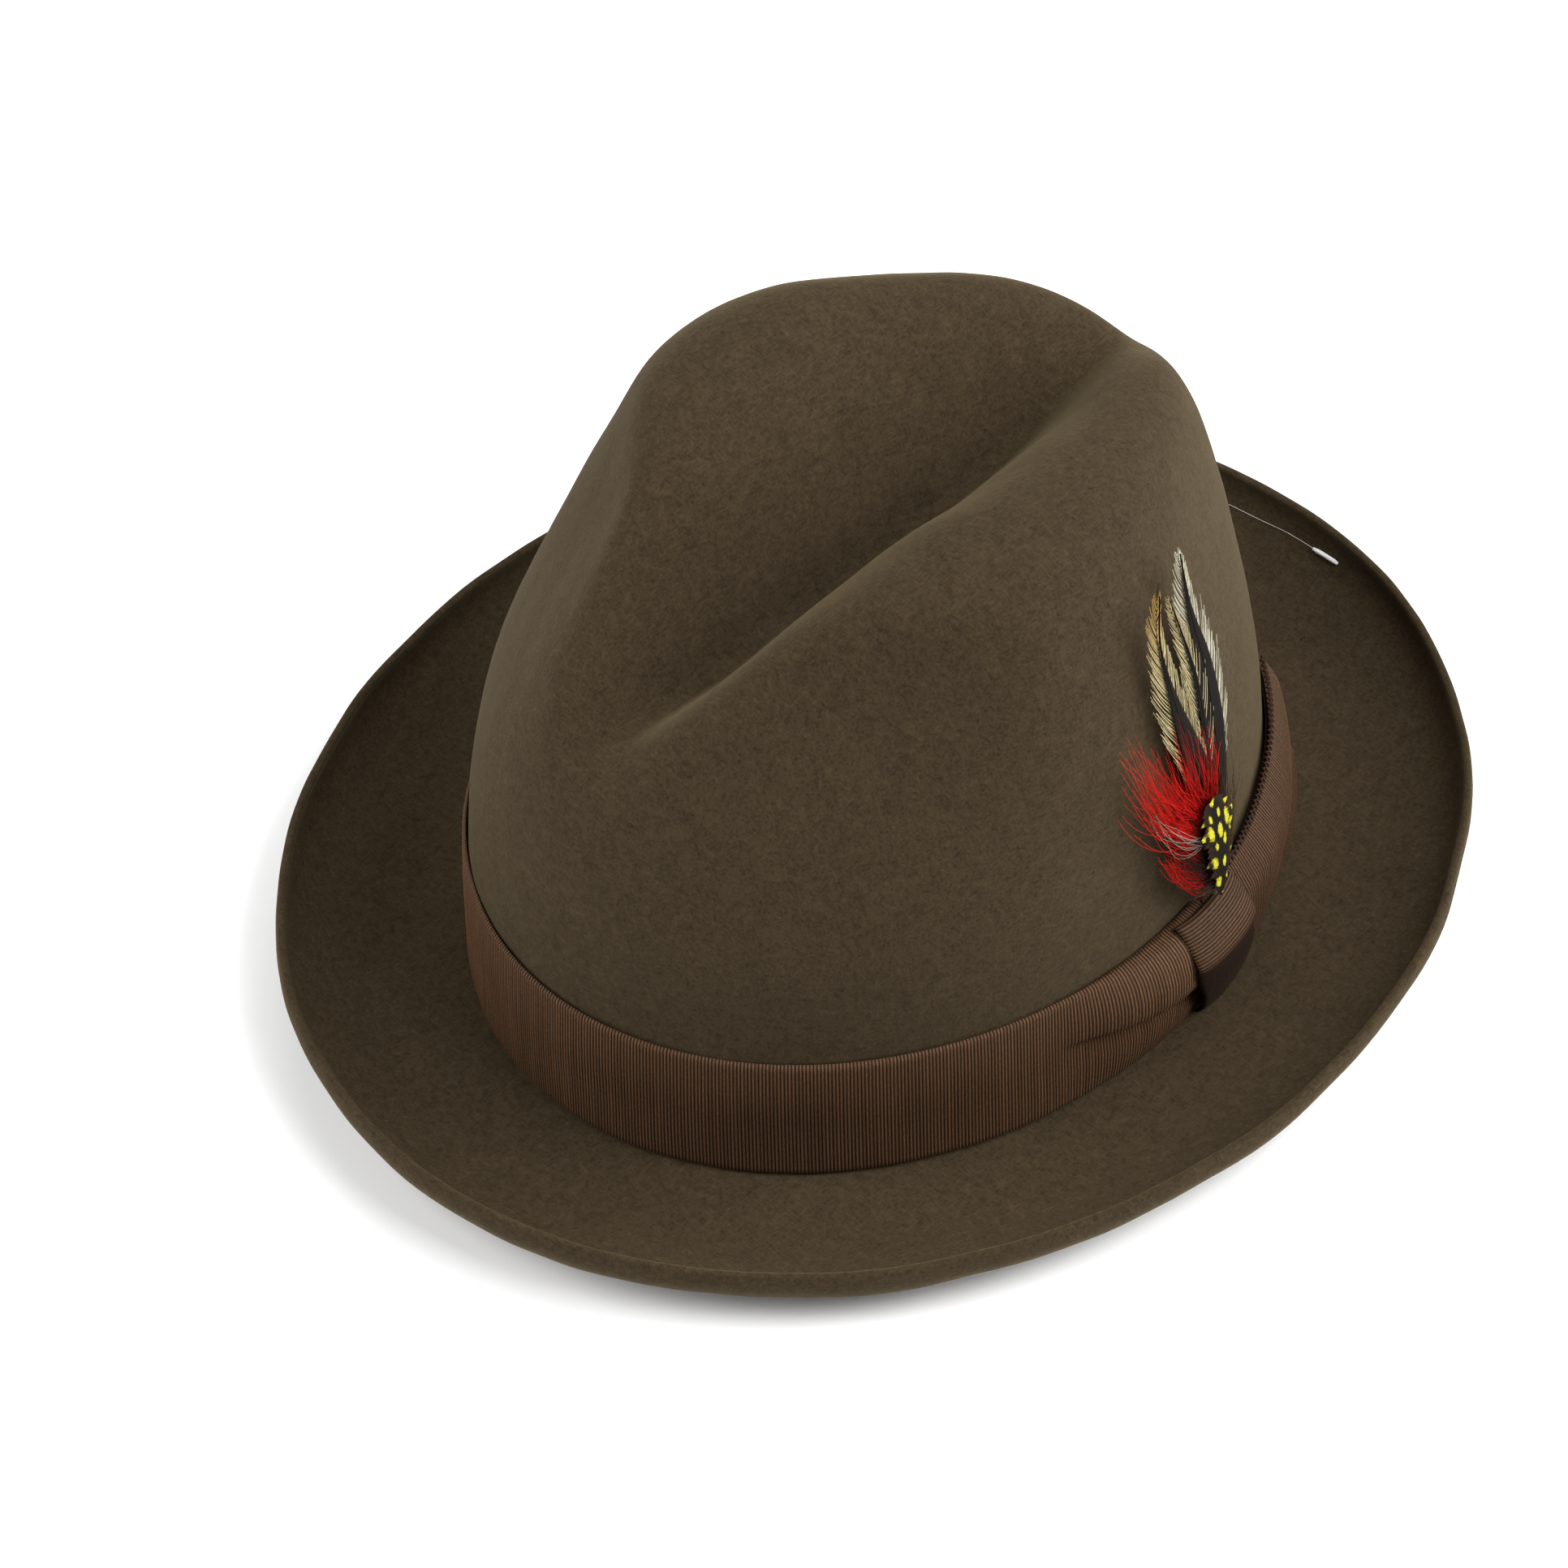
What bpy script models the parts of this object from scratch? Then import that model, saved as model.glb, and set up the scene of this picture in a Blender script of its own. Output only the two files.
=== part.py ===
"""A felt fedora with a ribbon band, a side bow, a feather plume and a sewn lining.

Metres, +Z up. The hat's front faces -Y and the wearer's left is +X. The hat rests on its
brim at z = 0, and the origin is under the centre of its box.
"""
import math

import bmesh
import bpy
from mathutils import Matrix, Vector

# ---- felt body -----------------------------------------------------------------------
FELT = 0.0022                 # felt thickness
FOOT_HALF_WIDTH = 0.0900      # oval of the crown's foot, outside the felt
FOOT_HALF_LENGTH = 0.1060
CROWN_HEIGHT = 0.1555         # of the uncreased crown, above the brim
CROWN_SQUARENESS = 6.1        # 2 is a round dome, higher is boxier
SIDE_TAPER = 0.075
FRONT_TAPER = 0.116
BACK_TAPER = 0.112
FRONT_DROP = 0.036            # the crown is lower at the front
BACK_RISE = 0.005
CREASE_HALF_WIDTH = 0.018     # the lengthwise dent along the top
CREASE_FRONT = 0.050
CREASE_MIDDLE = 0.0415
CREASE_BACK = 0.0435
PINCH_AT = (0.042, -0.042, 0.112)      # the finger dent each side of the front
PINCH_DEPTH = 0.0245
PINCH_LIFT = 0.015
PINCH_LENGTH = 0.0434
PINCH_BREADTH = 0.0285
PINCH_TILT = math.radians(16.7)
HOLLOW_AT = (0.0387, 0.0467, 0.1184)   # the shallow dent each side of the back
HOLLOW_DEPTH = 0.0198
HOLLOW_RADIUS = 0.050

# ---- brim ----------------------------------------------------------------------------
BRIM_REACH = 0.0461           # from the crown's foot to the edge, seen from above
BRIM_FLAT = 0.0140            # flat stretch beside the foot, which the hat rests on
BRIM_RISE = 0.0162            # height of the turned-up edge
CURL_ANGLE = math.radians(112)
CURL_LENGTH = 0.55            # of the curl, as a share of the rise

# ---- ribbon band and bow -------------------------------------------------------------
BAND_HEIGHT = 0.0372
BAND_THICKNESS = 0.0008
BAND_GAP = 0.0005             # between the felt and the band
KNOT_START = math.radians(8.0)         # round the oval, from +X towards the back
KNOT_END = math.radians(20.7)
TAIL_START = math.radians(21.2)
TAIL_END = math.radians(61.5)
PLEAT_START = math.radians(-12)        # the band's fold grows from here to the knot
PLEAT_FULL = math.radians(6.5)
PLEAT_HIDDEN = math.radians(11)        # it is flat again under the knot

# ---- sweatband and lining ------------------------------------------------------------
SWEATBAND_GAP = 0.0013        # leaves room for the lining's tucked edge
SWEATBAND_THICKNESS = 0.0008
SWEATBAND_BOTTOM = 0.0030
SWEATBAND_TOP = 0.0400
LINING_TUCK = 0.0004          # gap to the felt at the edge behind the sweatband
LINING_GAP = 0.0014           # and above it, where the lining hangs loose
LINING_THICKNESS = 0.0005
LINING_BOTTOM = 0.0330
LINING_SEAM = 0.70            # place of the seam between side and tip, up the section

# ---- plume ---------------------------------------------------------------------------
PLUME_ANGLE = math.radians(16.2)
PLUME_HEIGHT = 0.0425         # of the quills' binding, above the table
PIN_DEPTH = 0.020             # reach of the pin behind the band
PLUME_LEAN = 0.0011           # inward lean with height, in millimetres per square millimetre
FEATHER_THICKNESS = 0.0008

# ---- mesh fineness -------------------------------------------------------------------
AROUND = 48
CROWN_CLIMBS = (0.12, 0.25, 0.42, 0.56, 0.67, 0.76, 0.86, 0.97, 1.08, 1.19, 1.29, 1.39, 1.48)


def clear_scene():
    for item in list(bpy.data.objects):
        bpy.data.objects.remove(item, do_unlink=True)


def make_material(name, colour, roughness, metallic=0.0, alpha=1.0):
    material = bpy.data.materials.new(name)
    material.use_nodes = True
    shader = material.node_tree.nodes["Principled BSDF"]
    shader.inputs["Base Color"].default_value = (*colour, 1.0)
    shader.inputs["Roughness"].default_value = roughness
    shader.inputs["Metallic"].default_value = metallic
    shader.inputs["Alpha"].default_value = alpha
    return material


def add_object(name, data, material, parent):
    item = bpy.data.objects.new(name, data)
    data.materials.append(material)
    bpy.data.collections["fedora_hat"].objects.link(item)
    item.parent = parent
    return item


# ---- the felt's shape ----------------------------------------------------------------
def ease(low, high, value):
    """0 below low, 1 above high, with a smooth climb between."""
    t = min(max((value - low) / (high - low), 0.0), 1.0)
    return t * t * (3.0 - 2.0 * t)


def blocked_crown(angle, climb):
    """A point of the uncreased crown. climb is 0 at the foot and pi/2 at the top's centre."""
    c = math.cos(climb)
    s = math.sin(climb)
    n = CROWN_SQUARENESS
    size = (abs(c) ** n + abs(s) ** n) ** (-1.0 / n)
    reach = c * size
    height = s * size
    frontness = 0.5 * (1.0 - math.tanh(2.0 * math.sin(angle)))
    end_taper = BACK_TAPER + (FRONT_TAPER - BACK_TAPER) * frontness
    lean = height ** 1.5
    x = FOOT_HALF_WIDTH * reach * (1.0 - SIDE_TAPER * lean) * math.cos(angle)
    y = FOOT_HALF_LENGTH * reach * (1.0 - end_taper * lean) * math.sin(angle)
    top = CROWN_HEIGHT - FRONT_DROP * ease(0.04, -0.11, y) + BACK_RISE * ease(0.01, 0.11, y)
    return Vector((x, y, height * top)), reach


def press_pinches(point):
    for side in (1, -1):
        centre = Vector((side * PINCH_AT[0], PINCH_AT[1], PINCH_AT[2]))
        outward = Vector((centre.x, centre.y, 0.0)).normalized()
        along = Vector((outward.y, -outward.x, 0.0)) * side
        offset = point - centre
        u = offset.x * along.x + offset.y * along.y
        tilted_u = u * math.cos(PINCH_TILT) - offset.z * math.sin(PINCH_TILT)
        tilted_v = u * math.sin(PINCH_TILT) + offset.z * math.cos(PINCH_TILT)
        weight = math.exp(-(tilted_u / PINCH_LENGTH) ** 2 - (tilted_v / PINCH_BREADTH) ** 2)
        weight *= ease(0.0, 0.03, point.x * outward.x + point.y * outward.y)
        point = point - outward * PINCH_DEPTH * weight + Vector((0, 0, PINCH_LIFT * weight))
    return point


def press_hollows(point):
    for side in (1, -1):
        centre = Vector((side * HOLLOW_AT[0], HOLLOW_AT[1], HOLLOW_AT[2]))
        weight = math.exp(-(point - centre).length_squared / HOLLOW_RADIUS ** 2)
        push = Vector((-side, 0.0, -1.0)).normalized()
        point = point + push * HOLLOW_DEPTH * weight
    return point


def press_crease(point, reach):
    end_depth = CREASE_FRONT if point.y < 0 else CREASE_BACK
    depth = CREASE_MIDDLE + (end_depth - CREASE_MIDDLE) * ease(0.0, 0.09, abs(point.y))
    across = math.sqrt(point.x ** 2 + 0.003 ** 2) - 0.003
    fade = 1.0 - min(max(reach, 0.0), 1.0) ** 2.7
    point.z -= depth * math.exp(-(across / CREASE_HALF_WIDTH) ** 1.3) * fade
    return point


def crown_point(angle, climb):
    """A point on the outside of the creased crown."""
    point, reach = blocked_crown(angle, climb)
    point = press_crease(press_hollows(press_pinches(point)), reach)
    return point + Vector((0.0, 0.0, FELT))


def crown_frame(angle, climb):
    """A point on the crown's outside and its outward normal."""
    step = 1e-4
    climb = min(climb, math.pi / 2 - 2 * step)
    here = crown_point(angle, climb)
    around = crown_point(angle + step, climb) - here
    upward = crown_point(angle, climb + step) - here
    return here, around.cross(upward).normalized()


def climb_to_height(angle, height):
    low, high = 0.0, 0.6
    for _ in range(24):
        middle = 0.5 * (low + high)
        if crown_point(angle, middle).z < height:
            low = middle
        else:
            high = middle
    return 0.5 * (low + high)


def wall_point(angle, height, offset):
    """A point at a height on the crown's wall, moved out from the felt by offset."""
    here, normal = crown_frame(angle, climb_to_height(angle, height))
    flat = Vector((normal.x, normal.y, 0.0)).normalized()
    return here + flat * offset


def foot_frame(angle):
    """A point on the foot's oval and the oval's outward normal."""
    c, s = math.cos(angle), math.sin(angle)
    normal = Vector((c / FOOT_HALF_WIDTH, s / FOOT_HALF_LENGTH, 0.0)).normalized()
    return Vector((FOOT_HALF_WIDTH * c, FOOT_HALF_LENGTH * s, FELT)), normal


def brim_section(angle, t):
    """Reach and rise of the brim's upper face. t is 0 at the flat's end and 1 at the edge."""
    s, c2 = math.sin(angle), math.cos(2 * angle)
    reach = BRIM_REACH + 0.0026 * s - 0.0022 * c2
    rise = BRIM_RISE - 0.0014 * s - 0.0009 * c2
    curl = CURL_LENGTH * rise
    handle = (reach - curl * math.cos(CURL_ANGLE), rise - curl * math.sin(CURL_ANGLE))
    first = BRIM_FLAT + 0.5 * (reach - BRIM_FLAT)
    a, b, c, d = (1 - t) ** 3, 3 * (1 - t) ** 2 * t, 3 * (1 - t) * t * t, t ** 3
    return a * BRIM_FLAT + b * first + c * handle[0] + d * reach, c * handle[1] + d * rise


def brim_point(angle, t):
    foot, normal = foot_frame(angle)
    reach, rise = brim_section(angle, t)
    return foot + normal * reach + Vector((0.0, 0.0, rise))


# ---- mesh helpers --------------------------------------------------------------------
def loft(name, rings, closed=True, tip=None):
    """A mesh skin through rings of equal length, with an optional point closing its end."""
    count = len(rings[0])
    points = [tuple(point) for ring in rings for point in ring]
    faces = []
    spans = count if closed else count - 1
    for row in range(len(rings) - 1):
        for k in range(spans):
            low, high = row * count, (row + 1) * count
            after = (k + 1) % count
            faces.append((low + k, low + after, high + after, high + k))
    if tip is not None:
        points.append(tuple(tip))
        last = (len(rings) - 1) * count
        faces += [(last + k, last + (k + 1) % count, len(points) - 1) for k in range(count)]
    mesh = bpy.data.meshes.new(name)
    mesh.from_pydata(points, [], faces)
    mesh.shade_smooth()
    return mesh


def solid_mesh(name, points, faces):
    """A closed mesh with its faces turned outwards."""
    mesh = bpy.data.meshes.new(name)
    mesh.from_pydata([tuple(point) for point in points], [], faces)
    work = bmesh.new()
    work.from_mesh(mesh)
    bmesh.ops.recalc_face_normals(work, faces=work.faces)
    work.to_mesh(mesh)
    work.free()
    return mesh


def sweep_sections(name, sections):
    """A solid through closed sections of equal, even length, capped at both ends."""
    count = len(sections[0])
    points = [point for section in sections for point in section]
    faces = []
    for row in range(len(sections) - 1):
        low = row * count
        for k in range(count):
            after = (k + 1) % count
            faces.append((low + k, low + after, low + count + after, low + count + k))
    last = len(points) - count
    for k in range(count // 2 - 1):
        cap = (k, k + 1, count - 2 - k, count - 1 - k)
        faces.append(cap)
        faces.append(tuple(last + corner for corner in cap))
    return solid_mesh(name, points, faces)


def thicken(item, thickness, outward=False):
    shell = item.modifiers.new("thickness", "SOLIDIFY")
    shell.thickness = thickness
    shell.offset = 1.0 if outward else -1.0
    shell.use_even_offset = True


def ring_angles(count):
    return [2 * math.pi * k / count for k in range(count)]


def wire(name, points, radius, material, parent, cyclic=False):
    """A round cord through points."""
    curve = bpy.data.curves.new(name, "CURVE")
    curve.dimensions = "3D"
    spline = curve.splines.new("POLY")
    spline.points.add(len(points) - 1)
    for place, point in zip(spline.points, points):
        place.co = (*point, 1.0)
    spline.use_cyclic_u = cyclic
    curve.bevel_depth = radius
    curve.bevel_resolution = 1
    curve.use_fill_caps = True
    return add_object(name, curve, material, parent)


def blade(name, spine, half_widths, thickness, across, material, parent):
    """A flat tapered solid along a spine: a feather's outer shape."""
    sections = []
    for k, (centre, half) in enumerate(zip(spine, half_widths)):
        before = spine[max(k - 1, 0)]
        after = spine[min(k + 1, len(spine) - 1)]
        facing = (after - before).cross(across).normalized() * (thickness / 2)
        side = across.normalized() * half
        sections.append([centre - side - facing, centre + side - facing,
                         centre + side + facing, centre - side + facing])
    return add_object(name, sweep_sections(name, sections), material, parent)


# ---- felt ----------------------------------------------------------------------------
def make_felt_body(hat):
    angles = ring_angles(AROUND)
    brim_steps = (1.0, 0.9, 0.78, 0.64, 0.48, 0.3, 0.12, 0.0)
    rings = [[brim_point(a, t) for a in angles] for t in brim_steps]
    for share in (0.9, 0.25, 0.0):
        rings.append([])
        for a in angles:
            foot, normal = foot_frame(a)
            rings[-1].append(foot + normal * BRIM_FLAT * share)
    rings += [[crown_point(a, climb) for a in angles] for climb in CROWN_CLIMBS]
    mesh = loft("felt_body", rings, tip=crown_point(0.0, math.pi / 2))
    felt = make_material("wool_felt", (0.058, 0.043, 0.026), 0.95)
    body = add_object("felt_body", mesh, felt, hat)
    thicken(body, FELT)


# ---- ribbon --------------------------------------------------------------------------
def pin_room(angle):
    """The band stands off the felt under the bow, where the plume's pin goes in."""
    return 0.0022 * math.exp(-((angle - PLUME_ANGLE) / math.radians(9)) ** 2)


def pleat(angle):
    """How far the band's fold has grown at an angle, from 0 to 1."""
    around = math.remainder(angle, 2 * math.pi)
    return ease(PLEAT_START, PLEAT_FULL, around) * (1 - ease(PLEAT_FULL, PLEAT_HIDDEN, around))


def make_hat_band(hat, ribbon):
    extra = [math.radians(degrees % 360) for degrees in (-10, -4.5, -2, 2.5, 5, 9.2, 11, 13)]
    angles = sorted(ring_angles(AROUND) + extra)
    bottom = FELT + 0.0006
    folded = ((0.1, 0.0028), (0.5, 0.0100), (0.6, 0.0160), (2.2, 0.0188), (4.8, 0.0220),
              (5.2, 0.0280), (3.2, 0.0360), (0.6, 0.0396))
    rings = []
    for k, (out, height) in enumerate(folded):
        share = k / (len(folded) - 1)
        rings.append([])
        for a in angles:
            z = bottom + BAND_HEIGHT * share
            z += (height - z) * pleat(a)
            rings[-1].append(wall_point(a, z, BAND_GAP + pin_room(a) + out / 1000 * pleat(a)))
    band = add_object("hat_band", loft("hat_band", rings), ribbon, hat)
    thicken(band, BAND_THICKNESS, outward=True)


def ribbon_block(name, start, end, steps, profile, hat, ribbon):
    """A solid that runs round the wall: profile gives (offset, height) corners."""
    sections = []
    for k in range(steps):
        share = k / (steps - 1)
        angle = start + (end - start) * share
        sections.append([wall_point(angle, z, offset) for offset, z in profile(share)])
    return add_object(name, sweep_sections(name, sections), ribbon, hat)


def knot_profile(share):
    """The wrap: a sloping top face, an upright outer face and room for the band inside."""
    inner = 0.0078 - 0.0036 * min(2 * share, 1.0)
    return ((inner, 0.0028), (0.0088, 0.0060), (0.0105, 0.0130), (0.0112, 0.0220),
            (0.0108, 0.0310), (inner + 0.0012, 0.0396), (inner, 0.0398), (inner, 0.0200))


# The tail's outer face at places along it: (offset, height) in millimetres, top to bottom.
TAIL_SECTIONS = (
    (0.00, ((3.8, 42.2), (5.9, 36), (8.0, 30), (5.6, 14), (4.6, 4.6))),
    (0.25, ((3.1, 42.3), (6.0, 36), (8.0, 30), (5.4, 12), (4.5, 4.8))),
    (0.45, ((2.7, 42.4), (5.8, 34), (7.2, 26), (5.4, 11), (5.8, 4.8))),
    (0.70, ((2.6, 42.4), (5.4, 33), (6.4, 21), (5.8, 11), (8.3, 4.9))),
    (1.00, ((2.6, 42.2), (5.6, 34), (7.0, 20), (8.0, 12), (10.3, 5.6))))


def tail_profile(share):
    """One ribbon layer that bulges near its top and flares out at its lower edge."""
    after = next(k for k, (place, _) in enumerate(TAIL_SECTIONS) if place >= share and k > 0)
    low, high = TAIL_SECTIONS[after - 1], TAIL_SECTIONS[after]
    blend = (share - low[0]) / (high[0] - low[0])
    front = []
    for a, b in zip(low[1], high[1]):
        front.append([(u + (v - u) * blend) / 1000 for u, v in zip(a, b)])
    back = [(offset - BAND_THICKNESS, height) for offset, height in reversed(front)]
    return front + back


def make_bow(hat, ribbon):
    ribbon_block("bow_knot", KNOT_START, KNOT_END, 7, knot_profile, hat, ribbon)
    ribbon_block("bow_tail", TAIL_START, TAIL_END, 13, tail_profile, hat, ribbon)


# ---- inside --------------------------------------------------------------------------
def make_sweatband(hat):
    leather = make_material("sweatband_leather", (0.10, 0.055, 0.030), 0.55)
    angles = ring_angles(AROUND)
    inset = -(FELT + SWEATBAND_GAP)
    heights = (SWEATBAND_BOTTOM, 0.5 * (SWEATBAND_BOTTOM + SWEATBAND_TOP), SWEATBAND_TOP)
    rings = [[wall_point(a, z, inset) for a in angles] for z in heights]
    band = add_object("sweatband", loft("sweatband", rings), leather, hat)
    thicken(band, SWEATBAND_THICKNESS)

    reed_inset = inset - SWEATBAND_THICKNESS / 2
    path = [wall_point(a, FELT, reed_inset) for a in angles]
    for point in path:
        point.z = 0.0015
    wire("sweatband_reed", path, 0.0009, leather, hat, cyclic=True)

    thread = make_material("sewing_thread", (0.16, 0.11, 0.07), 0.7)
    stitch_inset = inset - SWEATBAND_THICKNESS - 0.0006
    path = [wall_point(a, 0.0065, stitch_inset) for a in angles]
    wire("sweatband_stitching", path, 0.00025, thread, hat, cyclic=True)


def make_sweatband_bow(hat):
    """The small flat bow that covers the sweatband's joint at the back."""
    curve = bpy.data.curves.new("sweatband_bow", "CURVE")
    curve.dimensions = "2D"
    curve.fill_mode = "BOTH"
    curve.extrude = 0.0004
    outline = ((-9.0, -3.0), (-2.0, -1.4), (2.0, -1.4), (9.0, -3.0),
               (9.0, 3.0), (2.0, 1.4), (-2.0, 1.4), (-9.0, 3.0))
    spline = curve.splines.new("POLY")
    spline.points.add(len(outline) - 1)
    for place, (x, y) in zip(spline.points, outline):
        place.co = (x / 1000, y / 1000, 0.0, 1.0)
    spline.use_cyclic_u = True
    satin = make_material("bow_satin", (0.05, 0.03, 0.02), 0.35)
    bow = add_object("sweatband_bow", curve, satin, hat)
    inset = -(FELT + SWEATBAND_GAP + SWEATBAND_THICKNESS + 0.0022)
    bow.location = wall_point(math.pi / 2, 0.016, inset)
    bow.rotation_euler = (math.pi / 2, 0.0, 0.0)


def make_size_label(hat):
    """A blank woven label on the sweatband, beside the back joint."""
    angle = math.radians(66)
    inset = -(FELT + SWEATBAND_GAP + SWEATBAND_THICKNESS + 0.0012)
    paper = make_material("label_cloth", (0.75, 0.72, 0.65), 0.8)
    bpy.ops.mesh.primitive_cube_add(size=1.0)
    label = bpy.context.object
    label.name = "size_label"
    label.data.name = "size_label"
    for collection in list(label.users_collection):
        collection.objects.unlink(label)
    bpy.data.collections["fedora_hat"].objects.link(label)
    label.data.transform(Matrix.Diagonal((0.014, 0.0003, 0.020, 1.0)))
    label.data.materials.append(paper)
    label.parent = hat
    label.location = wall_point(angle, 0.022, inset)
    normal = foot_frame(angle)[1]
    label.rotation_euler = (0.0, 0.0, math.atan2(normal.y, normal.x) - math.pi / 2)


def inside_point(angle, climb, depth):
    """A point inside the crown, below the felt's outer face by depth."""
    here, normal = crown_frame(angle, climb)
    return here - normal * depth


def make_lining(hat):
    satin = make_material("lining_satin", (0.030, 0.020, 0.014), 0.3)
    depth = FELT + LINING_GAP
    angles = ring_angles(AROUND)
    tucked = (LINING_BOTTOM, SWEATBAND_TOP + 0.0015)
    rings = [[wall_point(a, z, -FELT - LINING_TUCK) for a in angles] for z in tucked]
    climbs = [c for c in CROWN_CLIMBS if 0.3 < c < LINING_SEAM - 0.02]
    rings += [[inside_point(a, c, depth) for a in angles] for c in climbs]
    side = add_object("lining_side", loft("lining_side", rings), satin, hat)
    thicken(side, LINING_THICKNESS)

    climbs = [c for c in CROWN_CLIMBS if c > LINING_SEAM]
    rings = [[inside_point(a, c, depth) for a in angles] for c in climbs]
    top = inside_point(0.0, math.pi / 2, depth)
    tip = add_object("lining_tip", loft("lining_tip", rings, tip=top), satin, hat)
    thicken(tip, LINING_THICKNESS)

    cord = make_material("piping_cord", (0.12, 0.09, 0.05), 0.5)
    seam_depth = depth + LINING_THICKNESS + 0.0012
    path = [inside_point(a, LINING_SEAM, seam_depth) for a in angles]
    wire("lining_piping", path, 0.0006, cord, hat, cyclic=True)


def make_tip_shield(hat):
    """The clear film that guards the lining's tip."""
    film = make_material("clear_film", (0.9, 0.9, 0.9), 0.1, alpha=0.35)
    depth = FELT + LINING_GAP + LINING_THICKNESS + 0.0010
    angles = ring_angles(AROUND)
    climbs = [c for c in CROWN_CLIMBS if c > 1.1]
    rings = [[inside_point(a, c, depth) for a in angles] for c in climbs]
    top = inside_point(0.0, math.pi / 2, depth)
    shield = add_object("tip_shield", loft("tip_shield", rings, tip=top), film, hat)
    thicken(shield, 0.0003)


# ---- plume ---------------------------------------------------------------------------
def make_plume_axis(hat):
    """An empty on the wall: X points out of the wall, Y to the back, Z along the quills."""
    origin, normal = crown_frame(PLUME_ANGLE, climb_to_height(PLUME_ANGLE, PLUME_HEIGHT))
    back = Vector((-normal.y, normal.x, 0.0)).normalized()
    up = normal.cross(back)
    axis = bpy.data.objects.new("plume_axis", None)
    bpy.data.collections["fedora_hat"].objects.link(axis)
    axis.parent = hat
    turn = Matrix((normal, back, up)).transposed().to_4x4()
    axis.matrix_local = Matrix.Translation(origin) @ turn
    return axis


def feather(name, layer, base, tip, widths, material, axis):
    """A feather in millimetres: base and tip are (back, up), layer is its place off the wall."""
    spine = []
    for k in range(len(widths)):
        share = k / (len(widths) - 1)
        back = base[0] + (tip[0] - base[0]) * share
        up = base[1] + (tip[1] - base[1]) * share
        spine.append(Vector((layer - PLUME_LEAN * up * up, back, up)) / 1000)
    across = Vector((0.0, tip[1] - base[1], base[0] - tip[0]))
    halves = [width / 2000 for width in widths]
    return blade(name, spine, halves, FEATHER_THICKNESS, across, material, axis)


def make_plume(axis):
    cream = make_material("hackle_cream", (0.62, 0.50, 0.28), 0.6)
    red = make_material("hackle_red", (0.55, 0.015, 0.020), 0.6)
    black = make_material("spotted_black", (0.02, 0.016, 0.012), 0.5)
    brown = make_material("down_brown", (0.10, 0.06, 0.04), 0.7)
    thread = make_material("binding_thread", (0.04, 0.03, 0.02), 0.6)
    steel = make_material("pin_steel", (0.6, 0.6, 0.6), 0.3, metallic=1.0)

    long = (1.0, 6.0, 10.0, 11.0, 9.0, 5.0, 0.8)
    feather("hackle_left", 1.6, (-2.6, 7), (-3.5, 90), long, cream, axis)
    feather("hackle_right", 2.9, (0.8, 7), (9.5, 94), long, cream, axis)
    short = (1.0, 5.0, 8.0, 8.0, 5.0, 0.8)
    feather("hackle_middle", 4.2, (-1.0, 7), (3.0, 84), short, cream, axis)
    fluff = (2.0, 10.0, 20.0, 24.0, 16.0, 3.0)
    feather("hackle_red", 5.5, (-1.5, 7), (-10.0, 58), fluff, red, axis)
    tuft = (1.6, 9.0, 14.0, 10.0, 2.0)
    feather("down_brown", 6.8, (-1.5, 6.5), (-8.0, 42), tuft, brown, axis)
    spot = (2.0, 9.0, 13.0, 14.0, 10.0, 3.0)
    feather("spotted_feather", 8.1, (-0.8, 6.5), (0.5, 38), spot, black, axis)
    bpy.ops.mesh.primitive_cylinder_add(vertices=12, radius=0.0022, depth=0.0050)
    binding = bpy.context.object
    binding.name = "quill_binding"
    binding.data.name = "quill_binding"
    for collection in list(binding.users_collection):
        collection.objects.unlink(binding)
    bpy.data.collections["fedora_hat"].objects.link(binding)
    binding.data.materials.append(thread)
    binding.data.shade_smooth()
    binding.parent = axis
    binding.location = (0.0046, -0.0012, 0.0028)
    pin = [Vector((2.0, -1.2, 2.0)), Vector((1.5, -1.2, 0.0)), Vector((1.3, -1.2, -4.0))]
    pin.append(Vector((1.3, -1.2, -PIN_DEPTH * 1000)))
    wire("plume_pin", [point / 1000 for point in pin], 0.0004, steel, axis)


# ---- swing-tag fastener --------------------------------------------------------------
def over_brim(angle, t, above):
    """A point over the brim's upper face, which curls up steeply near its edge."""
    step = 1e-3
    here = brim_point(angle, t)
    around = brim_point(angle + step, t) - here
    outward = brim_point(angle, t + step) - here
    return here + outward.cross(around).normalized() * above


def make_tag_fastener(hat):
    """The thread of a swing tag and its moulded bar, lying on the brim at the back."""
    nylon = make_material("white_nylon", (0.85, 0.85, 0.85), 0.35)
    marks = ((99.3, 0.693), (94.7, 0.698), (90.5, 0.724), (86.6, 0.744), (84.9, 0.759))
    points = [over_brim(math.radians(angle), t, 0.0010) for angle, t in marks]
    wire("tag_fastener", points, 0.0004, nylon, hat)


def main():
    clear_scene()
    parts = bpy.data.collections.new("fedora_hat")
    bpy.context.scene.collection.children.link(parts)
    front = brim_point(-math.pi / 2, 0.9).y
    back = brim_point(math.pi / 2, 0.9).y
    hat = bpy.data.objects.new("hat_centre", None)
    parts.objects.link(hat)
    hat.location = (0.0, -0.5 * (front + back), 0.0)

    make_felt_body(hat)
    ribbon = make_material("grosgrain_ribbon", (0.055, 0.026, 0.017), 0.6)
    make_hat_band(hat, ribbon)
    make_bow(hat, ribbon)
    make_sweatband(hat)
    make_sweatband_bow(hat)
    make_size_label(hat)
    make_lining(hat)
    make_tip_shield(hat)
    make_plume(make_plume_axis(hat))
    make_tag_fastener(hat)


main()
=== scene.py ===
"""The looks of the felt fedora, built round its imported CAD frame. Metres, +Z up, front to -Y."""
import math

import bpy
import numpy as np
from mathutils import Matrix, Vector


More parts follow.
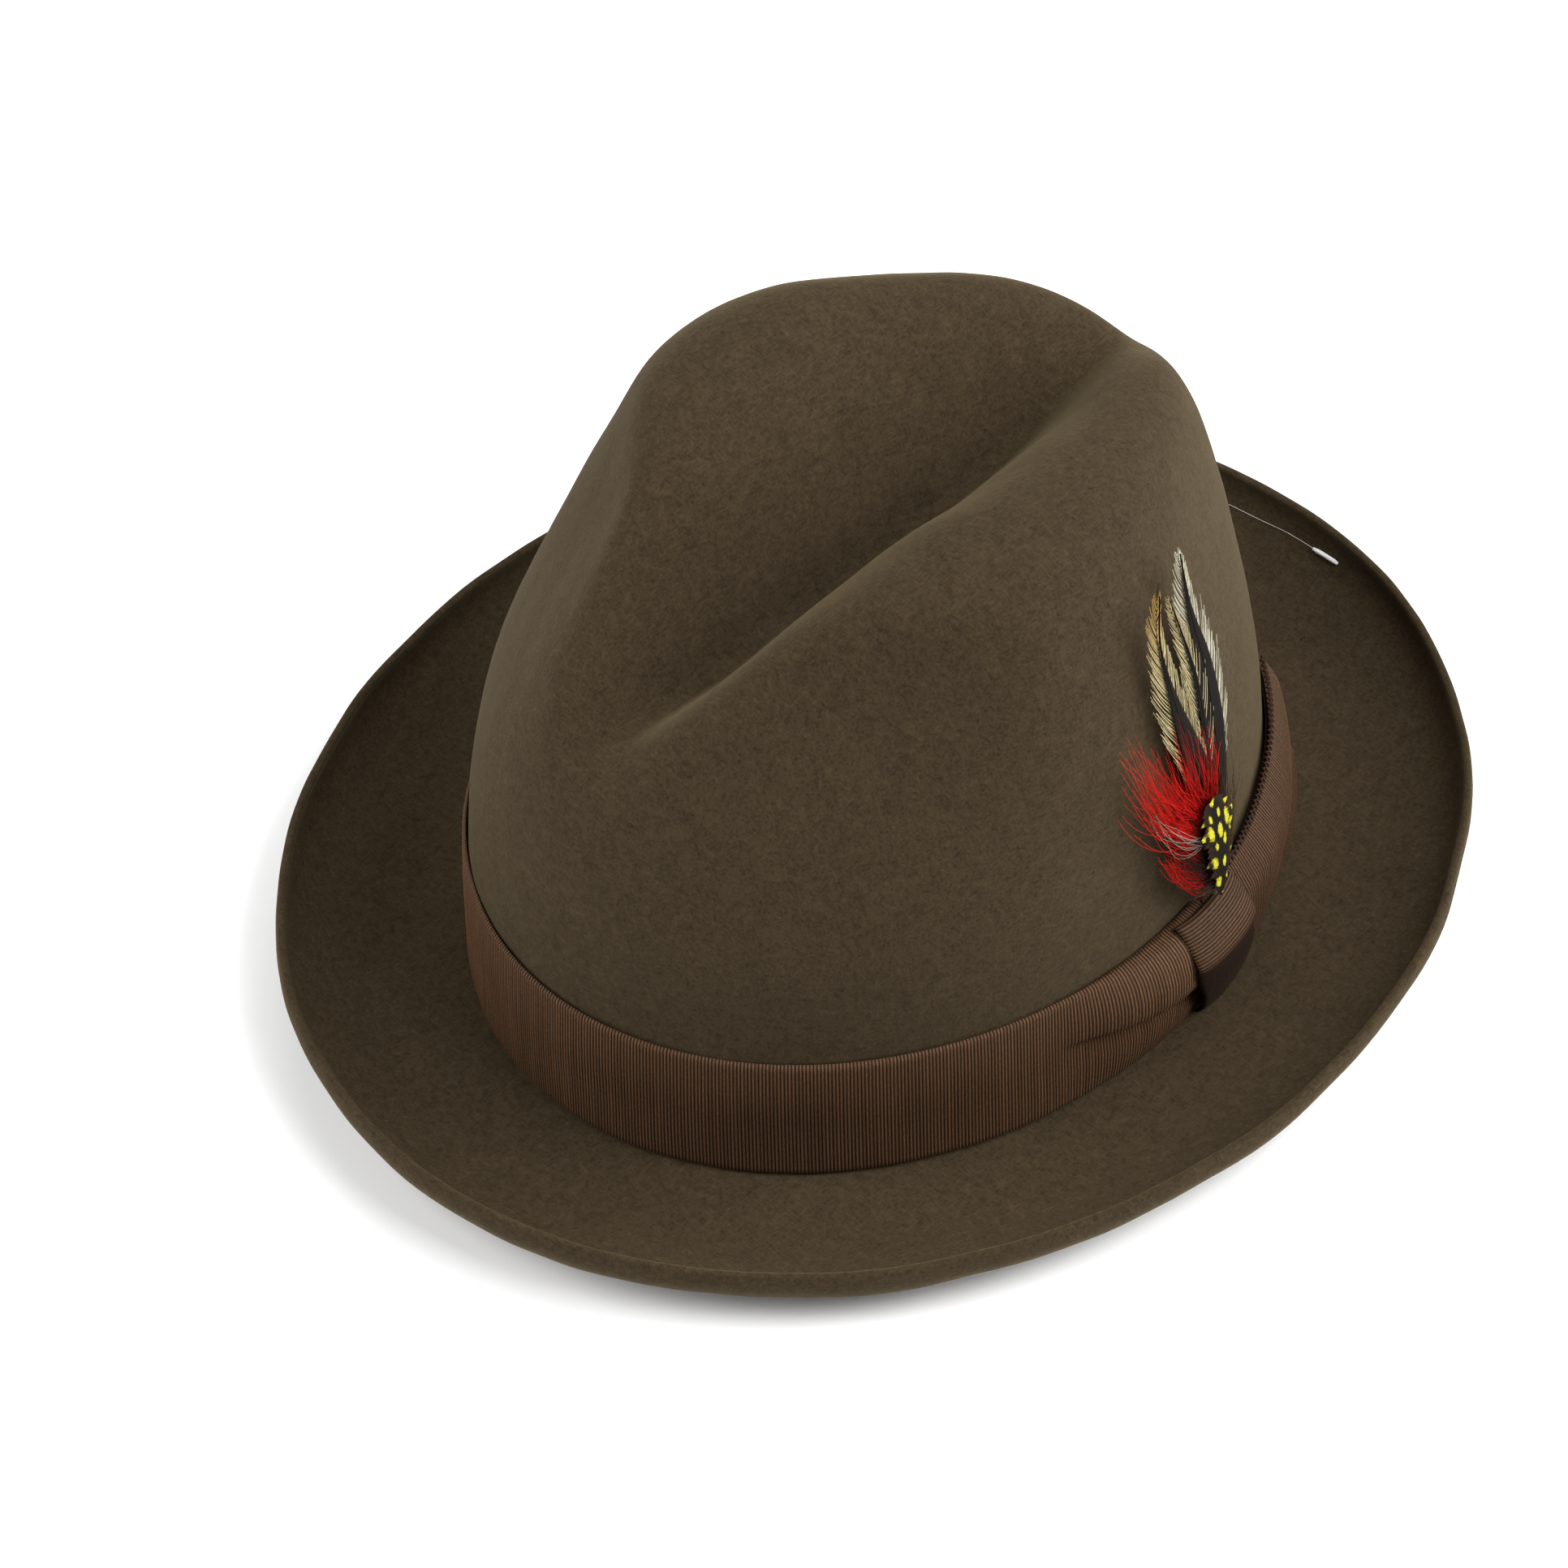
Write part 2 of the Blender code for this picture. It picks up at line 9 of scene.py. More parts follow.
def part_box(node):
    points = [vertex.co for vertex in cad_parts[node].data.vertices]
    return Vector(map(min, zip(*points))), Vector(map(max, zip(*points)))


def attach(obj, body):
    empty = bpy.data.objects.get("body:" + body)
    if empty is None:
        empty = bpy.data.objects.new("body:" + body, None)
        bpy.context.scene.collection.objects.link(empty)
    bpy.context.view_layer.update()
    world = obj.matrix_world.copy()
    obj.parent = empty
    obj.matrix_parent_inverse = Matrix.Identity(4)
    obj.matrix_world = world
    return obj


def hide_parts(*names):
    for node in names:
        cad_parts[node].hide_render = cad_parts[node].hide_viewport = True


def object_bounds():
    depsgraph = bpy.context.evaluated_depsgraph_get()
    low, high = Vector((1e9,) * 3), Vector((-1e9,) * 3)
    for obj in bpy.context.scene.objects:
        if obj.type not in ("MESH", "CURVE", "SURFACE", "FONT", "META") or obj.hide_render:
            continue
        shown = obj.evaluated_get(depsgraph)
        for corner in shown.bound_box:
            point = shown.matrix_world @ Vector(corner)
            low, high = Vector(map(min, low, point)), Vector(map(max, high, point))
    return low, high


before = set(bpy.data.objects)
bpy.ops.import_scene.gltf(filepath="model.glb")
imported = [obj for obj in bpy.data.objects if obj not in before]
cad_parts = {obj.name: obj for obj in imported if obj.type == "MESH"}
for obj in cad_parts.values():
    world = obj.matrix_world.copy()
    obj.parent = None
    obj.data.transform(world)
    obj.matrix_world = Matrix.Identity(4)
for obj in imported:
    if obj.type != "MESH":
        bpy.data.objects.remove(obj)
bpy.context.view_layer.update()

# ---- felt body, the same driving dimensions as the CAD model ----
FELT = 0.0022
FOOT_HALF_WIDTH = 0.0900
FOOT_HALF_LENGTH = 0.1060
CROWN_HEIGHT = 0.1555
CROWN_SQUARENESS = 6.1
SIDE_TAPER = 0.075
FRONT_TAPER = 0.116
BACK_TAPER = 0.112
FRONT_DROP = 0.036
BACK_RISE = 0.005
CREASE_HALF_WIDTH = 0.018
CREASE_FRONT = 0.050
CREASE_MIDDLE = 0.0415
CREASE_BACK = 0.0435
PINCH_AT = (0.042, -0.042, 0.112)
PINCH_DEPTH = 0.0245
PINCH_LIFT = 0.015
PINCH_LENGTH = 0.0434
PINCH_BREADTH = 0.0285
PINCH_TILT = math.radians(16.7)
HOLLOW_AT = (0.0387, 0.0467, 0.1184)
HOLLOW_DEPTH = 0.0198
HOLLOW_RADIUS = 0.050
BRIM_REACH = 0.0461
BRIM_FLAT = 0.0140
BRIM_RISE = 0.0162
CURL_ANGLE = math.radians(112)
CURL_LENGTH = 0.55

# ---- trimmings ----
BAND_BOTTOM = FELT + 0.0006
BAND_HEIGHT = 0.0372
BAND_THICKNESS = 0.0008
BAND_GAP = 0.0005
RIB_PITCH = 0.00086           # of the grosgrain
RIB_HEIGHT = 0.00020
RIB_STEPS = 4                 # mesh steps across one rib
THREAD_PITCH = 0.00031        # of the threads that cross the ribs
KNOT_START = math.radians(8.0)
KNOT_END = math.radians(20.7)
KNOT_SLANT = math.radians(4.5)     # the wrap leans back towards its foot
KNOT_WIDTH = 0.0220
TAIL_START = math.radians(19.5)
TAIL_END = math.radians(61.5)
TAIL_LENGTH = 0.0680
PLEAT_START = math.radians(-12)
SWEATBAND_INSET = 0.0035      # from the felt's outer face to the leather's outer face
SWEATBAND_THICKNESS = 0.0008
SWEATBAND_BOTTOM = 0.0030
SWEATBAND_TOP = 0.0400
LABEL_ANGLE = math.radians(66)
LABEL_WIDTH = 0.0124
LABEL_HEIGHT = 0.0196
LINING_BOTTOM = 0.0330
LINING_DEPTH = 0.0036         # from the felt's outer face
LINING_THICKNESS = 0.0005
LINING_SEAM = 0.70            # the climb of the seam between side and tip
LINING_STEPS = 360
PLUME_ANGLE = math.radians(16.2)
PLUME_HEIGHT = 0.0425
PLUME_LEAN = 0.0011


# ---- numbers ----
def unit(vectors):
    return vectors / np.linalg.norm(vectors, axis=-1, keepdims=True)


def ease(low, high, value):
    """0 below low, 1 above high, with a smooth climb between."""
    t = np.clip((value - low) / (high - low), 0.0, 1.0)
    return t * t * (3.0 - 2.0 * t)


def stack(*parts):
    return np.stack(np.broadcast_arrays(*parts), axis=-1)


def ripple(points, wavelength, seed, waves=9):
    """Smooth noise between about -1 and 1 through space."""
    random = np.random.default_rng(seed)
    total = np.zeros(points.shape[:-1])
    for _ in range(waves):
        direction = unit(random.normal(size=3))
        spacing = wavelength * random.uniform(0.7, 1.4)
        total += np.sin(points @ direction * (2 * math.pi / spacing) + random.uniform(0, 6.3))
    return total / math.sqrt(waves)


# ---- the felt's shape ----
def blocked_crown(angle, climb):
    """A point of the uncreased crown. climb is 0 at the foot and pi/2 at the top's centre."""
    c = np.cos(climb)
    s = np.sin(climb)
    n = CROWN_SQUARENESS
    size = (np.abs(c) ** n + np.abs(s) ** n) ** (-1.0 / n)
    reach = c * size
    height = s * size
    frontness = 0.5 * (1.0 - np.tanh(2.0 * np.sin(angle)))
    end_taper = BACK_TAPER + (FRONT_TAPER - BACK_TAPER) * frontness
    lean = height ** 1.5
    x = FOOT_HALF_WIDTH * reach * (1.0 - SIDE_TAPER * lean) * np.cos(angle)
    y = FOOT_HALF_LENGTH * reach * (1.0 - end_taper * lean) * np.sin(angle)
    top = CROWN_HEIGHT - FRONT_DROP * ease(0.04, -0.11, y) + BACK_RISE * ease(0.01, 0.11, y)
    return stack(x, y, height * top), reach


def press_pinches(point):
    for side in (1, -1):
        centre = np.array((side * PINCH_AT[0], PINCH_AT[1], PINCH_AT[2]))
        outward = unit(np.array((centre[0], centre[1], 0.0)))
        along = np.array((outward[1], -outward[0], 0.0)) * side
        offset = point - centre
        u = offset[..., 0] * along[0] + offset[..., 1] * along[1]
        tilted_u = u * math.cos(PINCH_TILT) - offset[..., 2] * math.sin(PINCH_TILT)
        tilted_v = u * math.sin(PINCH_TILT) + offset[..., 2] * math.cos(PINCH_TILT)
        weight = np.exp(-(tilted_u / PINCH_LENGTH) ** 2 - (tilted_v / PINCH_BREADTH) ** 2)
        weight = weight * ease(0.0, 0.03, point @ outward)
        push = np.array((0, 0, PINCH_LIFT)) - outward * PINCH_DEPTH
        point = point + push * weight[..., None]
    return point


def press_hollows(point):
    for side in (1, -1):
        centre = np.array((side * HOLLOW_AT[0], HOLLOW_AT[1], HOLLOW_AT[2]))
        weight = np.exp(-((point - centre) ** 2).sum(axis=-1) / HOLLOW_RADIUS ** 2)
        push = unit(np.array((-side, 0.0, -1.0))) * HOLLOW_DEPTH
        point = point + push * weight[..., None]
    return point


def press_crease(point, reach):
    x, y = point[..., 0], point[..., 1]
    end_depth = np.where(y < 0, CREASE_FRONT, CREASE_BACK)
    depth = CREASE_MIDDLE + (end_depth - CREASE_MIDDLE) * ease(0.0, 0.09, np.abs(y))
    across = np.sqrt(x ** 2 + 0.003 ** 2) - 0.003
    fade = 1.0 - np.clip(reach, 0.0, 1.0) ** 2.7
    drop = depth * np.exp(-(across / CREASE_HALF_WIDTH) ** 1.3) * fade
    return stack(x, y, point[..., 2] - drop)


def crown_point(angle, climb):
    """A point on the outside of the creased crown."""
    angle, climb = np.broadcast_arrays(np.asarray(angle, float), np.asarray(climb, float))
    point, reach = blocked_crown(angle, climb)
    point = press_crease(press_hollows(press_pinches(point)), reach)
    return point + np.array((0.0, HAT_Y, FELT))


def crown_frame(angle, climb):
    """Points on the crown's outside and their outward normals."""
    step = 1e-4
    climb = np.minimum(climb, math.pi / 2 - 2 * step)
    here = crown_point(angle, climb)
    around = crown_point(angle + step, climb) - here
    upward = crown_point(angle, climb + step) - here
    return here, unit(np.cross(around, upward))


def climb_to_height(angle, height):
    angle, height = np.broadcast_arrays(np.asarray(angle, float), np.asarray(height, float))
    low = np.zeros(angle.shape)
    high = np.full(angle.shape, 0.6)
    for _ in range(24):
        middle = 0.5 * (low + high)
        below = crown_point(angle, middle)[..., 2] < height
        low = np.where(below, middle, low)
        high = np.where(below, high, middle)
    return 0.5 * (low + high)


def wall_point(angle, height, offset):
    """Points at a height on the crown's wall, moved out from the felt by offset."""
    here, normal = crown_frame(angle, climb_to_height(angle, height))
    flat = unit(normal * np.array((1.0, 1.0, 0.0)))
    return here + flat * np.asarray(offset)[..., None]


def inside_point(angle, climb, depth):
    here, normal = crown_frame(angle, climb)
    return here - normal * np.asarray(depth)[..., None]


def foot_frame(angle):
    """Points on the foot's oval and the oval's outward normals."""
    c, s = np.cos(angle), np.sin(angle)
    normal = unit(stack(c / FOOT_HALF_WIDTH, s / FOOT_HALF_LENGTH, 0.0 * c))
    foot = stack(FOOT_HALF_WIDTH * c, FOOT_HALF_LENGTH * s + HAT_Y, FELT + 0.0 * c)
    return foot, normal


def brim_section(angle, t):
    """Reach and rise of the brim's upper face. t is 0 at the flat's end and 1 at the edge."""
    s, c2 = np.sin(angle), np.cos(2 * angle)
    reach = BRIM_REACH + 0.0026 * s - 0.0022 * c2
    rise = BRIM_RISE - 0.0014 * s - 0.0009 * c2
    curl = CURL_LENGTH * rise
    bend_reach = reach - curl * math.cos(CURL_ANGLE)
    bend_rise = rise - curl * math.sin(CURL_ANGLE)
    first = BRIM_FLAT + 0.5 * (reach - BRIM_FLAT)
    a, b, c, d = (1 - t) ** 3, 3 * (1 - t) ** 2 * t, 3 * (1 - t) * t * t, t ** 3
    return a * BRIM_FLAT + b * first + c * bend_reach + d * reach, c * bend_rise + d * rise


def brim_point(angle, t):
    angle, t = np.broadcast_arrays(np.asarray(angle, float), np.asarray(t, float))
    foot, normal = foot_frame(angle)
    reach, rise = brim_section(angle, t)
    return foot + normal * reach[..., None] + stack(0 * rise, 0 * rise, rise)


def hat_shift():
    """The CAD model is moved along Y so that its box is centred."""
    ends = [brim_point(sign * math.pi / 2, 0.9)[1] for sign in (-1, 1)]
    return -0.5 * sum(ends)


HAT_Y = 0.0                   # while hat_shift measures the unmoved brim
HAT_Y = hat_shift()


# ---- meshes ----
def grid_faces(rows, columns, closed=False):
    """Quads between neighbouring rows of points numbered row by row."""
    spans = np.arange(columns if closed else columns - 1)
    row = np.arange(rows - 1)[:, None] * columns
    low = (row + spans).ravel()
    after = (row + (spans + 1) % columns).ravel()
    return np.stack([low, after, after + columns, low + columns], axis=1)


def make_piece(name, points, faces, material, body, nodes=(), cloth=None, tint=None):
    """A smooth mesh piece that rides on a body and stands for CAD nodes."""
    mesh = bpy.data.meshes.new(name)
    mesh.from_pydata(np.asarray(points).reshape(-1, 3).tolist(), [], faces)
    mesh.shade_smooth()
    if cloth is not None:
        store = mesh.attributes.new("cloth", "FLOAT_VECTOR", "POINT")
        store.data.foreach_set("vector", np.asarray(cloth, np.float32).ravel())
    if tint is not None:
        store = mesh.attributes.new("tint", "FLOAT_COLOR", "POINT")
        colours = np.concatenate([tint, np.ones((len(tint), 1))], axis=1)
        store.data.foreach_set("color", colours.astype(np.float32).ravel())
    mesh.materials.append(material)
    item = bpy.data.objects.new(name, mesh)
    bpy.context.scene.collection.objects.link(item)
    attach(item, body)
    if nodes:
        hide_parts(*nodes)
    return item


def dome(rings, first_tip=None, last_tip=None):
    """Points and faces of a skin through closed rings, with a point at one or both ends."""
    rows, columns = rings.shape[:2]
    points = rings.reshape(-1, 3)
    faces = grid_faces(rows, columns, closed=True).tolist()
    around = np.arange(columns)
    after = (around + 1) % columns
    if first_tip is not None:
        faces += [(int(b), int(a), len(points)) for a, b in zip(around, after)]
        points = np.vstack([points, first_tip])
    if last_tip is not None:
        low = (rows - 1) * columns
        faces += [(int(low + a), int(low + b), len(points)) for a, b in zip(around, after)]
        points = np.vstack([points, last_tip])
    return points, faces


def slab(front, back, hoop=False):
    """Points and faces of a thin closed sheet between two faces.

    Both are grids with rows along the sheet. A hoop's last row joins its first.
    """
    rows, wide = front.shape[0], front.shape[1]
    ring = np.concatenate([front, back[:, ::-1]], axis=1)
    count = ring.shape[1]
    if hoop:
        low = grid_faces(rows + 1, count, closed=True)
        return ring.reshape(-1, 3), (low % (rows * count)).tolist()
    faces = grid_faces(rows, count, closed=True).tolist()
    shared = min(wide, back.shape[1])
    if shared == wide == back.shape[1]:
        caps = [(j, count - 1 - j, count - 2 - j, j + 1) for j in range(wide - 1)]
        last = (rows - 1) * count
        faces += caps
        faces += [tuple(last + k for k in reversed(cap)) for cap in caps]
    else:
        faces.append(tuple(reversed(range(count))))
        faces.append(tuple(range((rows - 1) * count, rows * count)))
    return ring.reshape(-1, 3), faces


def tubes(paths, radii, sides=5):
    """Points and faces of capped round tubes. paths is (tubes, steps, 3), radii fits it."""
    paths = np.asarray(paths, float)
    many, steps = paths.shape[:2]
    radii = np.broadcast_to(np.asarray(radii, float), (many, steps))
    ahead = unit(np.gradient(paths, axis=1))
    hint = np.where(np.abs(ahead[:, :1, 2:]) > 0.9, np.array((1.0, 0, 0)), np.array((0, 0, 1.0)))
    side = unit(np.cross(ahead, np.broadcast_to(hint, ahead.shape)))
    other = np.cross(ahead, side)
    turn = np.arange(sides) * (2 * math.pi / sides)
    offset = (side[:, :, None] * np.cos(turn)[:, None] + other[:, :, None] * np.sin(turn)[:, None])
    points = paths[:, :, None] + offset * radii[:, :, None, None]
    one = grid_faces(steps, sides, closed=True)
    faces = []
    for k in range(many):
        start = k * steps * sides
        faces += (one + start).tolist()
        faces.append([start + s for s in range(sides - 1, -1, -1)])
        faces.append([start + (steps - 1) * sides + s for s in range(sides)])
    return points.reshape(-1, 3), faces


def join(parts):
    """One list of points and faces from several."""
    points, faces, count = [], [], 0
    for more_points, more_faces in parts:
        faces += [[i + count for i in face] for face in more_faces]
        points.append(more_points)
        count += len(more_points)
    return np.vstack(points), faces


# ---- materials ----
def add_node(tree, kind, inputs=None, **settings):
    """A node whose inputs are linked to sockets or set to plain values."""
    node = tree.nodes.new("ShaderNode" + kind)
    for key, value in settings.items():
        setattr(node, key, value)
    for key, value in (inputs or {}).items():
        if isinstance(value, bpy.types.NodeSocket):
            tree.links.new(value, node.inputs[key])
        else:
            node.inputs[key].default_value = value
    return node


def new_material(name, **values):
    material = bpy.data.materials.new(name)
    material.use_nodes = True
    tree = material.node_tree
    shader = tree.nodes["Principled BSDF"]
    for key, value in values.items():
        shader.inputs[key.replace("_", " ").title().replace("Ior", "IOR")].default_value = value
    return material, tree, shader


def place(tree):
    return add_node(tree, "TexCoord").outputs["Object"]


def noise(tree, where, scale, detail=2.0, rough=0.5, distort=0.0):
    inputs = {"Vector": where, "Scale": scale, "Detail": detail, "Roughness": rough,
              "Distortion": distort}
    return add_node(tree, "TexNoise", inputs).outputs["Fac"]


def stretched(tree, where, scale, turn=(0.0, 0.0, 0.0)):
    inputs = {"Vector": where, "Scale": scale, "Rotation": turn}
    return add_node(tree, "Mapping", inputs).outputs["Vector"]


def math_node(tree, operation, *values):
    return add_node(tree, "Math", dict(enumerate(values)), operation=operation).outputs[0]


def weighted(tree, *terms):
    """The sum of values, each given with its weight."""
    total = None
    for value, weight in terms:
        part = math_node(tree, "MULTIPLY", value, weight)
        total = part if total is None else math_node(tree, "ADD", total, part)
    return total


def between(a, b, share):
    return tuple(x * (1 - share) + y * share for x, y in zip(a, b))


def scaled(colour, *factors):
    """The colour made darker or lighter by each factor."""
    return [tuple(min(c * factor, 1.0) for c in colour) for factor in factors]


def ramp(tree, value, *stops):
    """A colour ramp through (place, colour) stops."""
    node = add_node(tree, "ValToRGB", {"Fac": value})
    band = node.color_ramp
    while len(band.elements) < len(stops):
        band.elements.new(0.5)
    for element, (where, colour) in zip(band.elements, stops):
        element.position = where
        element.color = (*colour, 1.0)
    return node.outputs["Color"]


def mix(tree, factor, a, b, blend="MIX"):
    inputs = {"Factor": factor, "A": a, "B": b}
    node = add_node(tree, "Mix", None, data_type="RGBA", blend_type=blend)
    for key, value in inputs.items():
        kind = "VALUE" if key == "Factor" else "RGBA"
        socket = next(s for s in node.inputs if s.name == key and s.type == kind)
        if isinstance(value, bpy.types.NodeSocket):
            tree.links.new(value, socket)
        else:
            socket.default_value = value if kind == "VALUE" else (*value, 1.0)
    return next(s for s in node.outputs if s.type == "RGBA")


def bump(tree, shader, height, strength, distance):
    inputs = {"Height": height, "Strength": strength, "Distance": distance}
    node = add_node(tree, "Bump", inputs)
    tree.links.new(node.outputs["Normal"], shader.inputs["Normal"])


def felt_material():
    dark = (0.0130, 0.0089, 0.0047)
    light = (0.065, 0.0452, 0.0237)
    material, tree, shader = new_material(
        "felt_nap_brown", roughness=0.95, sheen_weight=0.13, sheen_roughness=0.42,
        sheen_tint=(0.85, 0.68, 0.38, 1.0), specular_ior_level=0.08)
    where = place(tree)
    fine = noise(tree, where, 1500.0, 5.0, 0.7)
    swirl = noise(tree, where, 260.0, 3.0, 0.6, 1.5)
    strands = noise(tree, stretched(tree, where, (1.0, 0.22, 1.0), (0.5, 0.3, 0.8)), 1900.0, 3.0)
    crossed = noise(tree, stretched(tree, where, (0.25, 1.0, 0.6), (0.2, 0.9, 0.1)), 1700.0, 3.0)
    fibres = math_node(tree, "MAXIMUM", strands, crossed)
    nap = weighted(tree, (weighted(tree, (fine, 0.38), (fibres, 0.62)), 0.72), (swirl, 0.28))
    colour = ramp(tree, nap, (0.34, dark), (0.55, between(dark, light, 0.5)), (0.74, light))
    tree.links.new(colour, shader.inputs["Base Color"])
    bump(tree, shader, nap, 0.55, 0.0004)
    return material


def ribbon_material():
    """Grosgrain: ribs along the cloth's x, crossed by fine threads. Its z is painted shade: how much
    darker it is drawn.
    """
    dark = (0.0060, 0.0034, 0.0024)
    light = (0.158, 0.084, 0.044)
    material, tree, shader = new_material(
        "grosgrain_brown", roughness=0.55, sheen_weight=0.02, sheen_roughness=0.35,
        sheen_tint=(0.9, 0.65, 0.5, 1.0), specular_ior_level=0.04)
    cloth = add_node(tree, "Attribute", attribute_name="cloth").outputs["Vector"]
    parts = add_node(tree, "SeparateXYZ", {"Vector": cloth})
    ribs = math_node(tree, "MULTIPLY", parts.outputs["X"], math.pi / RIB_PITCH)
    # painted shade: the grooves between ribs are drawn darker in colour, besides the bump; flecks and
    # slubs are random tone
    rib_relief_and_painted_shade = math_node(tree, "ABSOLUTE", math_node(tree, "SINE", ribs))
    warp = math_node(tree, "MULTIPLY", parts.outputs["Y"], 2 * math.pi / THREAD_PITCH)
    thread = math_node(tree, "MULTIPLY_ADD", math_node(tree, "SINE", warp), 0.5, 0.5)
    flecks = noise(tree, stretched(tree, cloth, (1.0, 0.35, 1.0)), 2600.0, 2.0)
    slubs = noise(tree, stretched(tree, cloth, (1.0, 0.02, 1.0)), 1100.0, 2.0)
    level = weighted(tree, (rib_relief_and_painted_shade, 0.62), (thread, 0.10), (flecks, 0.22), (slubs, 0.24))
    colour = ramp(tree, level, (0.28, dark), (0.78, between(dark, light, 0.38)), (1.0, light))
    # painted shade: the colour is mixed towards near-black by the cloth's z
    shade_painted_colour = mix(tree, parts.outputs["Z"], colour, (0.0035, 0.0020, 0.0016))
    tree.links.new(shade_painted_colour, shader.inputs["Base Color"])
    shine = add_node(tree, "MapRange", {"Value": flecks, "From Min": 0.3, "From Max": 0.75,
                                        "To Min": 0.7, "To Max": 0.34})
    tree.links.new(shine.outputs[0], shader.inputs["Roughness"])
    bump(tree, shader, level, 0.6, 0.00012)
    return material


def plain_material(name, colour, roughness, scale, spread=0.25, strength=0.3, depth=0.0001, **more):
    """A cloth, leather or thread whose colour and relief vary with one noise."""
    material, tree, shader = new_material(name, roughness=roughness, **more)
    grain = noise(tree, place(tree), scale, 4.0, 0.6)
    dark, light = scaled(colour, 1 - spread, 1 + spread)
    tree.links.new(ramp(tree, grain, (0.3, dark), (0.7, light)), shader.inputs["Base Color"])
    bump(tree, shader, grain, strength, depth)
    return material


def leather_material():
    material, tree, shader = new_material("leather_brown", roughness=0.5, specular_ior_level=0.4)
    where = place(tree)
    cells = add_node(tree, "TexVoronoi", {"Vector": where, "Scale": 1100.0, "Randomness": 1.0},
                     feature="DISTANCE_TO_EDGE").outputs["Distance"]
    tone = noise(tree, where, 90.0, 5.0, 0.6)
    colour = ramp(tree, tone, (0.3, (0.075, 0.038, 0.020)), (0.7, (0.135, 0.075, 0.042)))
    tree.links.new(colour, shader.inputs["Base Color"])
    rough = add_node(tree, "MapRange", {"Value": tone, "To Min": 0.42, "To Max": 0.62})
    tree.links.new(rough.outputs[0], shader.inputs["Roughness"])
    bump(tree, shader, cells, 0.35, 0.00012)
    return material


def satin_material(name, colour):
    material, tree, shader = new_material(name, roughness=0.32, anisotropic=0.6, sheen_weight=0.3,
                                          sheen_roughness=0.3)
    where = place(tree)
    threads = noise(tree, stretched(tree, where, (1.0, 1.0, 0.04)), 3000.0, 2.0)
    cloud = noise(tree, where, 45.0, 2.0)
    level = weighted(tree, (threads, 0.55), (cloud, 0.45))
    dark, light = scaled(colour, 0.7, 1.35)
    tree.links.new(ramp(tree, level, (0.35, dark), (0.65, light)), shader.inputs["Base Color"])
    bump(tree, shader, threads, 0.2, 0.00006)
    return material


def feather_material():
    """Barbs coloured by their tint attribute, with streaks along them."""
    material, tree, shader = new_material("feather_barbs", roughness=0.75, specular_ior_level=0.05)
    tint = add_node(tree, "Attribute", attribute_name="tint").outputs["Color"]
    streak = noise(tree, place(tree), 900.0, 3.0, 0.6)
    shade = ramp(tree, streak, (0.3, (0.72, 0.72, 0.72)), (0.7, (1.0, 1.0, 1.0)))
    tree.links.new(mix(tree, 1.0, tint, shade, "MULTIPLY"), shader.inputs["Base Color"])
    bump(tree, shader, streak, 0.2, 0.0001)
    return material


# ---- felt ----
def felt_angles(count):
    """Angles round the hat, closer together at the front and back, where the crease ends."""
    even = np.arange(count) * (2 * math.pi / count)
    return even + 0.22 * np.sin(2 * even)


def felt_skin(count):
    """Rings of the felt's outer face, from the brim's edge to near the crown's centre."""
    angles = felt_angles(count)[None]
    edge = 1.0 - np.linspace(0.0, 1.0, 34)[:, None] ** 1.15
    brim = brim_point(angles, edge)
    foot, normal = foot_frame(angles)
    share = np.array((0.85, 0.65, 0.45, 0.28, 0.16, 0.08, 0.03))[:, None, None]
    flat = foot + normal * BRIM_FLAT * share
    climbs = np.concatenate([np.linspace(0.012, 0.6, 26)[:-1], np.linspace(0.6, 1.05, 42)[:-1],
                             np.linspace(1.05, 1.562, 40)])
    crown = crown_point(angles, climbs[:, None])
    return np.concatenate([brim, flat, crown])


def ring_normals(rings):
    around = np.roll(rings, -1, axis=1) - np.roll(rings, 1, axis=1)
    upward = np.gradient(rings, axis=0)
    return unit(np.cross(around, upward))


def make_felt(material):
    outer = felt_skin(340)
    normals = ring_normals(outer)
    waver = ripple(outer, 0.045, 3) * 0.00022 + ripple(outer, 0.016, 4) * 0.00007
    outer = outer + normals * waver[..., None]
    inner = outer - normals * FELT
    outward = unit(outer[0] - outer[1])
    turn = np.radians((-75, -50, -25, 0, 25, 50, 75))[:, None, None]
    middle = 0.5 * (outer[0] + inner[0])
    rim = middle + FELT / 2 * (normals[0] * np.sin(turn) + outward * np.cos(turn) * 0.7)
    rings = np.concatenate([inner[::-1], rim, outer])
    top = crown_point(0.0, math.pi / 2)
    points, faces = dome(rings, top - np.array((0, 0, FELT)), top)
    make_piece("felt_shell", points, faces, material, "hat", ["felt_body"])


# ---- ribbon ----
def rib_relief(along):
    """Height of the ribs at a distance along the ribbon, from 0 to 1."""
    return np.abs(np.sin(along * (math.pi / RIB_PITCH))) ** 0.8


def pin_room(angle):
    """The band stands off the felt under the bow, where the plume's pin goes in."""
    return 0.0022 * np.exp(-((angle - PLUME_ANGLE) / math.radians(9)) ** 2)


def band_section(share):
    """Smooth band and fully pleated band: (offset, height) at shares down from the top edge."""
    top = BAND_BOTTOM + BAND_HEIGHT
    plain = stack(0.0 * share, top - BAND_HEIGHT * share)
    marks = np.array((0.0, 0.07, 0.16, 0.26, 0.34, 0.39, 0.42, 0.45, 0.50, 0.65, 0.82, 1.0))
    offsets = np.array((1.2, 3.2, 6.0, 7.6, 7.6, 6.9, 4.6, 1.5, 0.6, 2.4, 1.8, 0.2)) / 1000
    heights = np.array((39.4, 39.0, 36.4, 31.0, 25.5, 22.6, 21.4, 23.2, 21.8, 15.0, 8.6, 2.8)) / 1000
    return plain, stack(np.interp(share, marks, offsets), np.interp(share, marks, heights))


